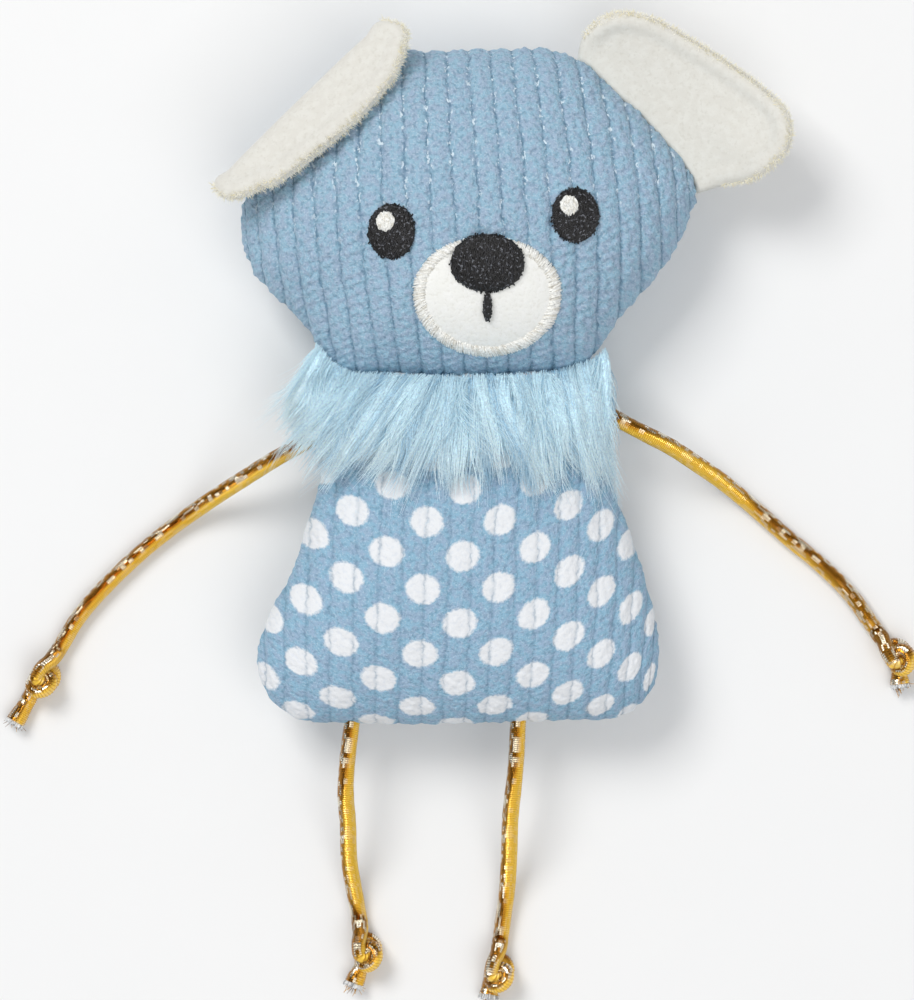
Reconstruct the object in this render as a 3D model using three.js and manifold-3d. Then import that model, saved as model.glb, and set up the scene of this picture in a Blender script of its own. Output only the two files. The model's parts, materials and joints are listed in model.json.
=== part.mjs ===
// Plush cat toy with a corduroy head and body, a fur collar and four elastic cord limbs.
// It lies on its back, face up: +Z up, +Y from the legs to the head, millimetres.
import * as THREE from "three";
import { mergeVertices } from "three/addons/utils/BufferGeometryUtils.js";
import Module from "manifold-3d";

const wasm = await Module();
wasm.setup();

// Fits between neighbouring pieces
const clearance = 0.3;
const halfGapShare = 0.5;
const cutOverrun = 60;
const restFlatDepth = 0.5;

// Fabric
const fabricThickness = 1.2;

// Head pouch, sewn from a front and a back panel
const headHalfWidth = 41;
const headHalfHeight = 29.9;
const headFrontRise = 18;
const headBackRise = 14.5;
const headAboveNeck = 30.9;

// Body pouch
const bodyHalfWidth = 35.8;
const bodyHalfHeight = 30.5;
const bodyFrontRise = 12.5;
const bodyBelowNeck = 29.9;
const bodySideShift = -1.6;

// Both pouches lie on the same back, so their side seams share one level
const seamLevel = headBackRise - restFlatDepth;
const bodyBackRise = headBackRise;

// Neck, a soft roll that the head nods over
const neckRadius = 6;
const neckHalfWidth = 19.6;
const neckNodAngle = 20;

// Swell of a stuffed pouch: height = rise * (1 - s ^ swellPower) ^ swellRoundness
const swellPower = 2.3;
const swellRoundness = 0.55;
const pouchSides = 48;
const pouchRingShares = [0.33, 0.63, 0.86, 0.965, 1];

// Outlines as shares of the half sizes, one every 15 degrees from the right, turning left
const headOutlineShares = [
  0.965, 1.01, 0.973, 0.978, 1.045, 1.041, 1.006, 1.041, 1.045, 0.978, 0.973, 1,
  0.995, 0.998, 0.97, 0.98, 1.1, 1.13, 1.12, 1.13, 1.08, 0.905, 0.887, 0.917,
];
const bodyOutlineShares = [
  0.89, 0.855, 0.875, 0.965, 1.155, 1.035, 1, 1.035, 1.1, 0.885, 0.817, 0.796,
  0.835, 0.945, 1.175, 1.288, 1.15, 1.035, 1, 1.03, 1.14, 1.265, 1.155, 0.99,
];
const collarOutlineShares = [
  1, 1.03, 1.12, 1.28, 1.12, 1.03, 1, 1.03, 1.12, 1.28, 1.12, 1.03,
  1, 1.03, 1.12, 1.28, 1.12, 1.03, 1, 1.03, 1.12, 1.28, 1.12, 1.03,
];

// Fur collar, a front and a back strip with a slot between them for the arms
const collarSideInset = 6.2;
const collarHeightInset = 9.5;
const collarCentreAboveBody = 11.9;
const collarLeftOfBody = 2.1;
const collarPile = 2.9;
const collarBackLength = 10;
const collarFrontLength = 20;
const collarBackInset = 4;
const collarArmRoom = 0.35;
const collarLockCount = 15;
const lockNotchShare = 0.8;
const collarHemShares = [0.4, 0.62, 0.8, 0.88, 0.93, 1, 0.95, 0.9, 0.86, 0.74];

// Face, embroidered on the head's front panel
const eyeHalfWidth = 4.6;
const eyeHalfHeight = 5.1;
const eyePad = 1;
const highlightRadius = 1.65;
const highlightPad = 0.6;
const leftEyeCentreShares = [-0.34, -0.087];
const rightEyeCentreShares = [0.4675, 0.009];
const highlightOffsetShares = [-0.25, 0.35];
const muzzleHalfWidth = 13.6;
const muzzleHalfHeight = 11.4;
const muzzleCentreShares = [0.081, -0.4575];
const muzzlePile = 1.6;
const muzzleBorderWidth = 2.3;
const noseHalfWidth = 6.8;
const noseHalfHeight = 5.6;
const nosePad = 1.4;
const noseUpShare = 0.47;
const mouthWidth = 1;
const mouthLength = 4.2;
const mouthPad = 0.6;
const plateSides = 20;
const plateRingShares = [0.4, 0.75, 1];
const padEdgeShare = 0.55;
const ovalShares = [1];
const eggShares = [
  1, 1.01, 1, 0.99, 0.97, 0.95, 0.94, 0.95, 0.97, 0.99, 1, 1.01,
  1, 1, 1, 1, 1, 1, 1, 1, 1, 1, 1, 1,
];

// Ears, two plush layers each, sewn along the head's edge between two directions
const earLength = 21.8;
const earLayerThickness = 1.3;
const earBaseTopAngle = 65.6;
const earBaseLowAngle = 8.2;
const foldedEarTopAngle = 69.3;
const earCup = 2.5;
const earCurl = 3;
const earColumns = 7;
const earRowShares = [0, 0.1, 0.2, 0.3, 0.4, 0.5, 0.6, 0.7, 0.785, 0.87, 0.934, 0.983, 1];
const earBaseRoundShares = [-0.96, -0.75, -0.4];
const earEdgeRowShares = [0, 0.12, 0.3, 0.455, 0.57, 0.68, 0.785, 0.87, 0.934, 0.983, 1];
const earStartShares = [0, -0.047, -0.079, -0.047, 0, 0.184, 0.368, 0.516, 0.642, 0.737, 0.79];
const earEndShares = [1, 1.068, 1.126, 1.147, 1.153, 1.153, 1.155, 1.13, 1.074, 0.979, 0.92];
const foldedStartShares = [
  0.035, -0.03, -0.1, -0.135, -0.149, -0.14, -0.08, -0.005, 0.075, 0.24, 0.32,
];
const foldedEndShares = [
  0.965, 1.01, 1.05, 1.075, 1.078, 1.07, 1.012, 0.892, 0.812, 0.57, 0.43,
];
const foldRiseAtTop = 7.5;
const foldRiseAtBottom = 9.3;
const foldBendLength = 2.8;
const foldStartAngle = 92;
const foldEndAngle = 150;
const normalStep = 0.05;

// Limbs of round elastic cord with an overhand knot and a cut end
const cordDiameter = 2.9;
const cordSides = 8;
const cordStepCount = 24;
const exitRun = 9;
const droopRun = 28;
const knotStrandDiameter = 1.2;
const knotStrandSpacing = 2;
const knotEntryShare = 1.65;
const knotClimbShare = 1.2;
const knotOpenAngle = 0.52;
const knotApproach = 5.8;
const knotThinReach = 4;
const knotThickReach = 5.6;
const knotSides = 6;
const knotStepCount = 58;
const knotLoopPoints = 28;
const coreLength = 1.3;
const coreFlareShare = 1.12;
const coreSides = 10;

// Where each limb leaves the body's seam, as a direction from the body's centre
const leftArmAngle = 130;
const rightArmAngle = 52.4;
const leftLegAngle = 241.3;
const rightLegAngle = 286.2;

// Tails past the knots
const leftArmTail = 9.3;
const rightArmTail = 3.6;
const leftLegTail = 4.7;
const rightLegTail = 3.8;

// Routes of the cords from their exits to their knots, as picture points
const pixelSize = 0.18;
const leftArmPixels = [
  [332, 424], [305, 439], [279, 453], [248, 472], [216, 492], [188, 511], [161, 531], [135, 553],
  [110, 577], [92, 596], [76, 616], [61, 636], [50, 653], [41, 674],
];
const rightArmPixels = [
  [595, 405], [617, 418], [640, 430], [666, 443], [693, 460], [720, 478], [752, 504], [786, 534],
  [820, 562], [850, 592], [874, 618], [888, 636], [896, 656],
];
const leftLegPixels = [
  [346, 732], [343, 757], [341, 790], [343, 824], [344, 863], [346, 901], [351, 932], [359, 955],
];
const rightLegPixels = [
  [520, 730], [519, 752], [517, 776], [513, 815], [512, 853], [510, 891], [508, 930], [504, 955],
  [499, 974],
];

const colours = {
  headCorduroy: 0x9ab8d0,
  bodyCorduroy: 0x8aadc8,
  plush: 0xf0ece0,
  stitch: 0xf2f0ea,
  blackThread: 0x1a1a1c,
  fur: 0xb4d7e6,
  gold: 0xd9a21f,
  core: 0xdcdcd8,
  stuffing: 0xf5f5f2,
};

function cloth(colour) {
  return new THREE.MeshStandardMaterial({ color: colour, roughness: 0.9, metalness: 0 });
}

function metallic(colour) {
  return new THREE.MeshStandardMaterial({ color: colour, roughness: 0.3, metalness: 0.9 });
}

function smooth(share) {
  const t = Math.min(Math.max(share, 0), 1);
  return t * t * (3 - 2 * t);
}

// Height of a closed table of shares at an angle in radians, on a smooth curve
function shareAt(shares, angle) {
  const n = shares.length;
  const turn = angle / (2 * Math.PI);
  const place = (turn - Math.floor(turn)) * n;
  const i = Math.floor(place) % n;
  const t = place - Math.floor(place);
  const a = shares[(i + n - 1) % n];
  const b = shares[i];
  const c = shares[(i + 1) % n];
  const d = shares[(i + 2) % n];
  const bend = 2 * b + t * (c - a) + t * t * (2 * a - 5 * b + 4 * c - d);
  return (bend + t * t * t * (3 * b - a - 3 * c + d)) / 2;
}

// Height of an open table of shares at a place from 0 to 1, on straight pieces
function rowAt(places, shares, place) {
  let i = 0;
  while (i < places.length - 2 && place > places[i + 1]) i += 1;
  const t = (place - places[i]) / (places[i + 1] - places[i]);
  return shares[i] + (shares[i + 1] - shares[i]) * t;
}

// A closed surface from points and triangles, with its faces turned outwards
function closedGeometry(points, triangles) {
  let volume = 0;
  for (const [i, j, k] of triangles) {
    volume += points[i].dot(points[j].clone().cross(points[k]));
  }
  const index = triangles.flatMap(([i, j, k]) => (volume < 0 ? [i, k, j] : [i, j, k]));
  const geometry = new THREE.BufferGeometry().setFromPoints(points);
  geometry.setIndex(index);
  return geometry;
}

function solidOf(geometry) {
  const bare = geometry.clone();
  bare.deleteAttribute("normal");
  bare.deleteAttribute("uv");
  const merged = mergeVertices(bare, clearance / cutOverrun);
  return new wasm.Manifold(
    new wasm.Mesh({
      numProp: 3,
      vertProperties: new Float32Array(merged.attributes.position.array),
      triVerts: new Uint32Array(merged.index.array),
    }),
  );
}

function geometryOf(solid) {
  const mesh = solid.getMesh();
  const geometry = new THREE.BufferGeometry();
  const positions = new Float32Array(mesh.numVert * 3);
  for (let i = 0; i < mesh.numVert; i += 1) {
    for (let k = 0; k < 3; k += 1) {
      positions[i * 3 + k] = mesh.vertProperties[i * mesh.numProp + k];
    }
  }
  geometry.setAttribute("position", new THREE.BufferAttribute(positions, 3));
  geometry.setIndex(new THREE.BufferAttribute(new Uint32Array(mesh.triVerts), 1));
  return geometry;
}

function boxSolid(low, high) {
  const size = new THREE.Vector3().subVectors(high, low);
  const box = new THREE.BoxGeometry(size.x, size.y, size.z);
  box.translate((low.x + high.x) / 2, (low.y + high.y) / 2, (low.z + high.z) / 2);
  return solidOf(box);
}

// A pouch is a flat outline swollen to both sides of its seam
function pouch(centre, halfWidth, halfHeight, frontRise, backRise, shares) {
  return { centre, halfWidth, halfHeight, frontRise, backRise, shares };
}

// The same pouch, with every side moved in by a depth
function inset(body, depth) {
  return pouch(
    body.centre,
    body.halfWidth - depth,
    body.halfHeight - depth,
    body.frontRise - depth,
    body.backRise - depth,
    body.shares,
  );
}

function outlinePoint(body, angle) {
  const share = shareAt(body.shares, angle);
  return new THREE.Vector2(
    body.centre.x + body.halfWidth * share * Math.cos(angle),
    body.centre.y + body.halfHeight * share * Math.sin(angle),
  );
}

function outlineNormal(body, angle) {
  const step = 1 / pouchSides;
  const before = outlinePoint(body, angle - step);
  const after = outlinePoint(body, angle + step);
  return new THREE.Vector2(after.y - before.y, before.x - after.x).normalize();
}

function swell(share) {
  return Math.pow(Math.max(1 - Math.pow(share, swellPower), 0), swellRoundness);
}

function frontHeight(body, x, y) {
  const across = (x - body.centre.x) / body.halfWidth;
  const along = (y - body.centre.y) / body.halfHeight;
  const share = Math.hypot(across, along) / shareAt(body.shares, Math.atan2(along, across));
  return seamLevel + body.frontRise * swell(share);
}

function pouchSolid(body) {
  const points = [];
  const triangles = [];
  const rings = pouchRingShares.length;
  const ringPoint = (share, k, rise) => {
    const angle = (k / pouchSides) * 2 * Math.PI;
    const edge = outlinePoint(body, angle);
    return new THREE.Vector3(
      body.centre.x + (edge.x - body.centre.x) * share,
      body.centre.y + (edge.y - body.centre.y) * share,
      seamLevel + rise * swell(share),
    );
  };
  const addSide = (rise) => {
    const first = points.length;
    points.push(new THREE.Vector3(body.centre.x, body.centre.y, seamLevel + rise));
    for (const share of pouchRingShares) {
      for (let k = 0; k < pouchSides; k += 1) points.push(ringPoint(share, k, rise));
    }
    return first;
  };
  const front = addSide(body.frontRise);
  const back = addSide(-body.backRise);
  for (const [first, flip] of [[front, false], [back, true]]) {
    const put = (i, j, k) => triangles.push(flip ? [i, k, j] : [i, j, k]);
    for (let k = 0; k < pouchSides; k += 1) {
      const next = (k + 1) % pouchSides;
      put(first, first + 1 + k, first + 1 + next);
      for (let r = 1; r < rings; r += 1) {
        const inner = first + 1 + (r - 1) * pouchSides;
        const outer = inner + pouchSides;
        put(inner + k, outer + k, outer + next);
        put(inner + k, outer + next, inner + next);
      }
    }
  }
  return solidOf(closedGeometry(points, triangles));
}

function neckSolid(radius) {
  const straight = 2 * (neckHalfWidth - neckRadius);
  const roll = new THREE.CapsuleGeometry(radius, straight, 4, 16);
  roll.rotateZ(Math.PI / 2);
  roll.translate(0, 0, seamLevel);
  return solidOf(roll);
}

// Half spaces used as cutters
const far = cutOverrun * 2;
const floorCut = boxSolid(new THREE.Vector3(-far, -far, -far), new THREE.Vector3(far, far, 0));

function frontSide(depth) {
  const low = new THREE.Vector3(-far, -far, seamLevel + depth);
  return boxSolid(low, new THREE.Vector3(far, far, far));
}

function backSide(depth) {
  const high = new THREE.Vector3(far, far, seamLevel - depth);
  return boxSolid(new THREE.Vector3(-far, -far, -far), high);
}

function below(level) {
  return boxSolid(new THREE.Vector3(-far, -far, -far), new THREE.Vector3(far, level, far));
}

// Solids of the body: the pouch ends at the neck, which rolls inside the head
const body = pouch(
  new THREE.Vector2(bodySideShift, -bodyBelowNeck),
  bodyHalfWidth,
  bodyHalfHeight,
  bodyFrontRise,
  bodyBackRise,
  bodyOutlineShares,
);
const head = pouch(
  new THREE.Vector2(0, headAboveNeck),
  headHalfWidth,
  headHalfHeight,
  headFrontRise,
  headBackRise,
  headOutlineShares,
);

function bodySolid(depth) {
  const trunk = pouchSolid(inset(body, depth)).intersect(below(-clearance - Math.max(depth, 0)));
  return trunk.add(neckSolid(neckRadius - depth));
}

// The head is cut where it would meet the neck, and where its chin would meet the collar
function headCut() {
  const wedge = new THREE.BoxGeometry(far, cutOverrun, cutOverrun);
  wedge.translate(0, -cutOverrun / 2, cutOverrun / 2);
  wedge.rotateX(-THREE.MathUtils.degToRad(neckNodAngle));
  wedge.translate(0, 0, seamLevel);
  const behind = below(clearance * halfGapShare);
  return neckSolid(neckRadius + clearance).add(solidOf(wedge)).add(behind);
}

const stuffingDepth = fabricThickness + clearance;
const seamHalfGap = clearance * halfGapShare;
const headCutter = headCut();

function panels(outer, inner) {
  const shell = outer.subtract(inner).subtract(floorCut);
  return [shell.intersect(frontSide(seamHalfGap)), shell.intersect(backSide(seamHalfGap))];
}

const headShells = panels(
  pouchSolid(head).subtract(headCutter),
  pouchSolid(inset(head, fabricThickness)),
);
const bodyShells = panels(bodySolid(0), bodySolid(fabricThickness));
const headStuffing = pouchSolid(inset(head, stuffingDepth)).subtract(headCutter);
const bodyStuffing = bodySolid(stuffingDepth);

// Fur collar: pile on the body's surface, trimmed to a hem of pointed locks
const collarHalfWidth = bodyHalfWidth - collarSideInset;
const collarHalfHeight = bodyHalfHeight - collarHeightInset;
const collarCentreBelowNeck = bodyBelowNeck - collarCentreAboveBody;
const collarSideShift = bodySideShift - collarLeftOfBody;

function hemPrism(halfWidth, length) {
  const shape = new THREE.Shape();
  const left = collarSideShift - halfWidth;
  const pitch = (2 * halfWidth) / collarLockCount;
  const places = collarHemShares.map((_, i) => i / (collarHemShares.length - 1));
  shape.moveTo(left, -clearance);
  for (let i = 0; i < collarLockCount; i += 1) {
    const notch = rowAt(places, collarHemShares, i / collarLockCount);
    const tip = rowAt(places, collarHemShares, (i + 1 / 2) / collarLockCount);
    shape.lineTo(left + i * pitch, -length * notch * lockNotchShare);
    shape.lineTo(left + (i + 1 / 2) * pitch, -length * tip);
  }
  const last = collarHemShares[collarHemShares.length - 1];
  shape.lineTo(left + 2 * halfWidth, -length * last * lockNotchShare);
  shape.lineTo(left + 2 * halfWidth, -clearance);
  const prism = new THREE.ExtrudeGeometry(shape, { depth: 2 * cutOverrun, bevelEnabled: false });
  prism.translate(0, 0, -cutOverrun);
  return solidOf(prism);
}

const cordRadius = cordDiameter / 2;
const armSlot = cordRadius + collarArmRoom;
const collar = pouch(
  new THREE.Vector2(collarSideShift, -collarCentreBelowNeck),
  collarHalfWidth,
  collarHalfHeight,
  bodyFrontRise + collarPile,
  seamLevel - clearance,
  collarOutlineShares,
);
const collarCore = bodySolid(-clearance);
const collarBody = pouchSolid(collar).subtract(collarCore);
const collarFront = collarBody
  .intersect(frontSide(armSlot))
  .intersect(hemPrism(collarHalfWidth, collarFrontLength));
const collarBack = pouchSolid(collar)
  .subtract(collarCore)
  .intersect(backSide(armSlot))
  .intersect(hemPrism(collarHalfWidth - collarBackInset, collarBackLength));

// Embroidered plates follow the swell of the head's front
function plateAt(shares, offset) {
  return new THREE.Vector2(
    head.centre.x + shares[0] * headHalfWidth + offset.x,
    head.centre.y + shares[1] * headHalfHeight + offset.y,
  );
}

function plateGeometry(centre, halfWidth, halfHeight, shares, lift, pad, hole) {
  const points = [];
  const triangles = [];
  const rings = hole > 0 ? [hole, (1 + hole) / 2, 1] : plateRingShares;
  const put = (share, k, top) => {
    const angle = (k / plateSides) * 2 * Math.PI;
    const reach = share * shareAt(shares, angle);
    const x = centre.x + halfWidth * reach * Math.cos(angle);
    const y = centre.y + halfHeight * reach * Math.sin(angle);
    const plump = hole > 0 ? 1 : 1 - (1 - padEdgeShare) * share * share;
    points.push(new THREE.Vector3(x, y, frontHeight(head, x, y) + lift + (top ? pad * plump : 0)));
  };
  for (const top of [false, true]) {
    for (const share of rings) {
      for (let k = 0; k < plateSides; k += 1) put(share, k, top);
    }
  }
  const layer = rings.length * plateSides;
  const at = (top, r, k) => (top ? layer : 0) + r * plateSides + (k % plateSides);
  for (let k = 0; k < plateSides; k += 1) {
    for (let r = 1; r < rings.length; r += 1) {
      triangles.push([at(1, r - 1, k), at(1, r, k), at(1, r, k + 1)]);
      triangles.push([at(1, r - 1, k), at(1, r, k + 1), at(1, r - 1, k + 1)]);
      triangles.push([at(0, r - 1, k), at(0, r, k + 1), at(0, r, k)]);
      triangles.push([at(0, r - 1, k), at(0, r - 1, k + 1), at(0, r, k + 1)]);
    }
    const rim = rings.length - 1;
    triangles.push([at(1, rim, k), at(0, rim, k), at(0, rim, k + 1)]);
    triangles.push([at(1, rim, k), at(0, rim, k + 1), at(1, rim, k + 1)]);
    if (hole > 0) {
      triangles.push([at(1, 0, k), at(0, 0, k + 1), at(0, 0, k)]);
      triangles.push([at(1, 0, k), at(1, 0, k + 1), at(0, 0, k + 1)]);
    }
  }
  if (!(hole > 0)) {
    const height = frontHeight(head, centre.x, centre.y) + lift;
    const low = points.push(new THREE.Vector3(centre.x, centre.y, height)) - 1;
    const high = points.push(new THREE.Vector3(centre.x, centre.y, height + pad)) - 1;
    for (let k = 0; k < plateSides; k += 1) {
      triangles.push([high, at(1, 0, k), at(1, 0, k + 1)]);
      triangles.push([low, at(0, 0, k + 1), at(0, 0, k)]);
    }
  }
  return closedGeometry(points, triangles);
}

const noOffset = new THREE.Vector2(0, 0);
const muzzleCentre = plateAt(muzzleCentreShares, noOffset);
const patchHalfWidth = muzzleHalfWidth - muzzleBorderWidth - clearance;
const patchHalfHeight = muzzleHalfHeight - muzzleBorderWidth - clearance;
const onMuzzle = clearance + muzzlePile + clearance;
const muzzlePatch = plateGeometry(
  muzzleCentre, patchHalfWidth, patchHalfHeight, eggShares, clearance, muzzlePile, 0,
);

// The border's hole is its own outline, scaled by the share that leaves its width at the sides
const borderHoleShare = (muzzleHalfWidth - muzzleBorderWidth) / muzzleHalfWidth;
const muzzleBorder = plateGeometry(
  muzzleCentre, muzzleHalfWidth, muzzleHalfHeight, eggShares, clearance, muzzlePile,
  borderHoleShare,
);
const noseCentre = new THREE.Vector2(
  muzzleCentre.x,
  muzzleCentre.y + noseUpShare * muzzleHalfHeight,
);
const nose = plateGeometry(
  noseCentre, noseHalfWidth, noseHalfHeight, ovalShares, onMuzzle, nosePad, 0,
);
const mouthCentre = new THREE.Vector2(
  noseCentre.x,
  noseCentre.y - noseHalfHeight - clearance - mouthLength / 2,
);
const mouth = plateGeometry(
  mouthCentre, mouthWidth / 2, mouthLength / 2, ovalShares, onMuzzle, mouthPad, 0,
);

function eyeParts(centreShares) {
  const centre = plateAt(centreShares, noOffset);
  const shift = new THREE.Vector2(
    highlightOffsetShares[0] * eyeHalfWidth,
    highlightOffsetShares[1] * eyeHalfHeight,
  );
  const lift = clearance + eyePad + clearance;
  return [
    plateGeometry(centre, eyeHalfWidth, eyeHalfHeight, ovalShares, clearance, eyePad, 0),
    plateGeometry(
      centre.clone().add(shift), highlightRadius, highlightRadius, ovalShares, lift,
      highlightPad, 0,
    ),
  ];
}
const [leftEye, leftHighlight] = eyeParts(leftEyeCentreShares);
const [rightEye, rightHighlight] = eyeParts(rightEyeCentreShares);

// Ears: each layer is a bent sheet between the head's edge and the ear's rim
const layerGap = clearance * halfGapShare;
const earHalfThickness = earLayerThickness + layerGap;

// The hinge line of an ear touches the head's edge, and the sewn edge follows the head
function earFrame(topAngle, lowAngle) {
  const top = outlinePoint(head, topAngle);
  const low = outlinePoint(head, lowAngle);
  const along = low.clone().sub(top);
  const length = along.length();
  along.normalize();
  const out = new THREE.Vector2(-along.y, along.x);
  if (out.dot(top.clone().sub(head.centre)) < 0) out.negate();
  const samples = [];
  for (let i = 0; i <= pouchSides; i += 1) {
    const angle = topAngle + ((lowAngle - topAngle) * i) / pouchSides;
    const offset = outlinePoint(head, angle).sub(top);
    samples.push([offset.dot(along) / length, offset.dot(out)]);
  }
  const swellOut = Math.max(...samples.map((sample) => sample[1]));
  const sewnInset = (place) => {
    const shown = Math.min(Math.max(place, 0), 1);
    const places = samples.map((sample) => sample[0]);
    const offsets = samples.map((sample) => sample[1]);
    return swellOut - rowAt(places, offsets, shown);
  };
  const standOff = swellOut + earHalfThickness + clearance;
  const origin = top.clone().addScaledVector(out, standOff);
  return { origin, along, out, length, sewnInset };
}

// Section of the ear that lies out flat: distance from the head and height
function flatSection(place, reach) {
  const side = (2 * place - 1) ** 2;
  const share = reach / earLength;
  return [reach, earCup * side * smooth(2 * share) + earCurl * share * share];
}

// Section of the ear that is folded forward over the head
function foldedSection(place, reach) {
  const rise = foldRiseAtTop + (foldRiseAtBottom - foldRiseAtTop) * place;
  const start = THREE.MathUtils.degToRad(foldStartAngle);
  const end = THREE.MathUtils.degToRad(foldEndAngle);
  const straight = Math.min(reach, rise);
  const bent = Math.min(Math.max(reach - rise, 0), foldBendLength);
  const flap = Math.max(reach - rise - foldBendLength, 0);
  const radius = foldBendLength / (end - start);
  const angle = start + bent / radius;
  const across = radius * (Math.sin(angle) - Math.sin(start));
  const up = radius * (Math.cos(start) - Math.cos(angle));
  return [
    straight * Math.cos(start) + across + flap * Math.cos(end),
    straight * Math.sin(start) + up + flap * Math.sin(end),
  ];
}

function earPoint(frame, section, place, row) {
  const [reach, height] = section(place, row * earLength);
  const sewn = frame.sewnInset(place) * (1 - Math.max(row, 0)) ** 4;
  const flat = frame.origin
    .clone()
    .addScaledVector(frame.along, place * frame.length)
    .addScaledVector(frame.out, reach - sewn);
  return new THREE.Vector3(flat.x, flat.y, seamLevel + height);
}

function earLayer(ear, low, high) {
  const { frame, section, startShares, endShares } = ear;
  const points = [];
  const triangles = [];
  const step = normalStep / earLength;
  const baseRows = earBaseRoundShares.map((share) => (share * earHalfThickness) / earLength);
  const rowShares = [...baseRows, ...earRowShares];
  const rows = rowShares.length;
  const columns = earColumns + 1;
  for (const side of [low, high]) {
    for (const row of rowShares) {
      const start = rowAt(earEdgeRowShares, startShares, Math.max(row, 0));
      const end = rowAt(earEdgeRowShares, endShares, Math.max(row, 0));
      const baseShare = (Math.min(row, 0) * earLength) / earHalfThickness;
      const isOuter = Math.abs(side) > layerGap;
      const depth = isOuter ? side * Math.sqrt(1 - baseShare * baseShare) : side;
      for (let c = 0; c < columns; c += 1) {
        const place = start + ((end - start) * c) / earColumns;
        const point = earPoint(frame, section, place, row);
        const across = earPoint(frame, section, place + step, row).sub(point);
        const up = earPoint(frame, section, place, row + step).sub(point);
        points.push(point.addScaledVector(across.cross(up).normalize(), depth));
      }
    }
  }
  const at = (layer, r, c) => layer * rows * columns + r * columns + c;
  const quad = (a, b, c, d) => triangles.push([a, b, c], [a, c, d]);
  for (let r = 0; r + 1 < rows; r += 1) {
    for (let c = 0; c < earColumns; c += 1) {
      quad(at(1, r, c), at(1, r, c + 1), at(1, r + 1, c + 1), at(1, r + 1, c));
      quad(at(0, r, c), at(0, r + 1, c), at(0, r + 1, c + 1), at(0, r, c + 1));
    }
    quad(at(0, r, 0), at(1, r, 0), at(1, r + 1, 0), at(0, r + 1, 0));
    const c = earColumns;
    quad(at(0, r, c), at(0, r + 1, c), at(1, r + 1, c), at(1, r, c));
  }
  for (let c = 0; c < earColumns; c += 1) {
    quad(at(0, 0, c), at(0, 0, c + 1), at(1, 0, c + 1), at(1, 0, c));
    const r = rows - 1;
    quad(at(0, r, c), at(1, r, c), at(1, r, c + 1), at(0, r, c + 1));
  }
  return closedGeometry(points, triangles);
}

// The right ear lies out flat, and the left one is folded forward over the head
const earTopTurn = THREE.MathUtils.degToRad(earBaseTopAngle);
const earLowTurn = THREE.MathUtils.degToRad(earBaseLowAngle);
const foldedTopTurn = THREE.MathUtils.degToRad(foldedEarTopAngle);
const rightEar = {
  frame: earFrame(earTopTurn, earLowTurn),
  section: flatSection,
  startShares: earStartShares,
  endShares: earEndShares,
};
const leftEar = {
  frame: earFrame(Math.PI - foldedTopTurn, Math.PI - earLowTurn),
  section: foldedSection,
  startShares: foldedStartShares,
  endShares: foldedEndShares,
};
const rightEarFront = earLayer(rightEar, layerGap, earHalfThickness);
const rightEarBack = earLayer(rightEar, -earHalfThickness, -layerGap);
const leftEarFront = earLayer(leftEar, -earHalfThickness, -layerGap);
const leftEarBack = earLayer(leftEar, layerGap, earHalfThickness);

// Limbs: a cord leaves the seam level, droops to the ground and ends in a knot
const knotStrandRadius = knotStrandDiameter / 2;
const knotPipeRadius = knotStrandSpacing / 2;
const knotRingRadius = knotStrandSpacing;
const restLevel = knotPipeRadius * knotClimbShare + knotStrandRadius;

function limbExit(angle) {
  const turn = THREE.MathUtils.degToRad(angle);
  const edge = outlinePoint(body, turn);
  return edge.addScaledVector(outlineNormal(body, turn), cordRadius + clearance);
}

function limbRoute(exit, pixels) {
  const flat = pixels.map(([x, y]) => {
    const across = (x - pixels[0][0]) * pixelSize;
    return new THREE.Vector2(exit.x + across, exit.y - (y - pixels[0][1]) * pixelSize);
  });
  let run = 0;
  return flat.map((point, i) => {
    if (i > 0) run += point.distanceTo(flat[i - 1]);
    const drop = smooth((run - exitRun) / droopRun);
    return new THREE.Vector3(point.x, point.y, seamLevel + (restLevel - seamLevel) * drop);
  });
}

function cordSolid(route) {
  const section = new THREE.Shape();
  section.absarc(0, 0, cordRadius, 0, 2 * Math.PI);
  const tube = new THREE.ExtrudeGeometry(section, {
    steps: cordStepCount,
    curveSegments: cordSides / 2,
    extrudePath: new THREE.CatmullRomCurve3(route),
  });
  const root = new THREE.SphereGeometry(cordRadius, cordSides, cordSides);
  root.translate(route[0].x, route[0].y, route[0].z);
  return solidOf(tube).add(solidOf(root));
}

// Overhand knot: a three-lobed loop on a ring, opened at its first crossing
function knotPath(tail) {
  const entry = knotRingRadius * knotEntryShare;
  const climb = knotPipeRadius * knotClimbShare;
  const points = [new THREE.Vector3(0, -knotApproach, 0)];
  points.push(new THREE.Vector3(0, cordRadius / 2 - knotApproach, 0));
  points.push(new THREE.Vector3(entry / 2, (-2 * knotApproach) / 3, climb / 3));
  points.push(new THREE.Vector3(entry, -knotRingRadius / 2, climb));
  for (let i = 0; i <= knotLoopPoints; i += 1) {
    const turn = 2 * Math.PI - 2 * knotOpenAngle;
    const t = knotOpenAngle + (turn * i) / knotLoopPoints;
    const reach = knotRingRadius + knotPipeRadius * Math.cos(3 * t);
    const lift = knotPipeRadius * Math.sin(3 * t);
    points.push(new THREE.Vector3(reach * Math.cos(2 * t), reach * Math.sin(2 * t), lift));
  }
  points.push(new THREE.Vector3(entry, knotRingRadius / 2, -climb));
  points.push(new THREE.Vector3(entry / 2, (2 * knotApproach) / 3, -climb / 3));
  if (tail > knotApproach) points.push(new THREE.Vector3(0, tail, 0));
  return new THREE.CatmullRomCurve3(points, false, "centripetal");
}

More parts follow.
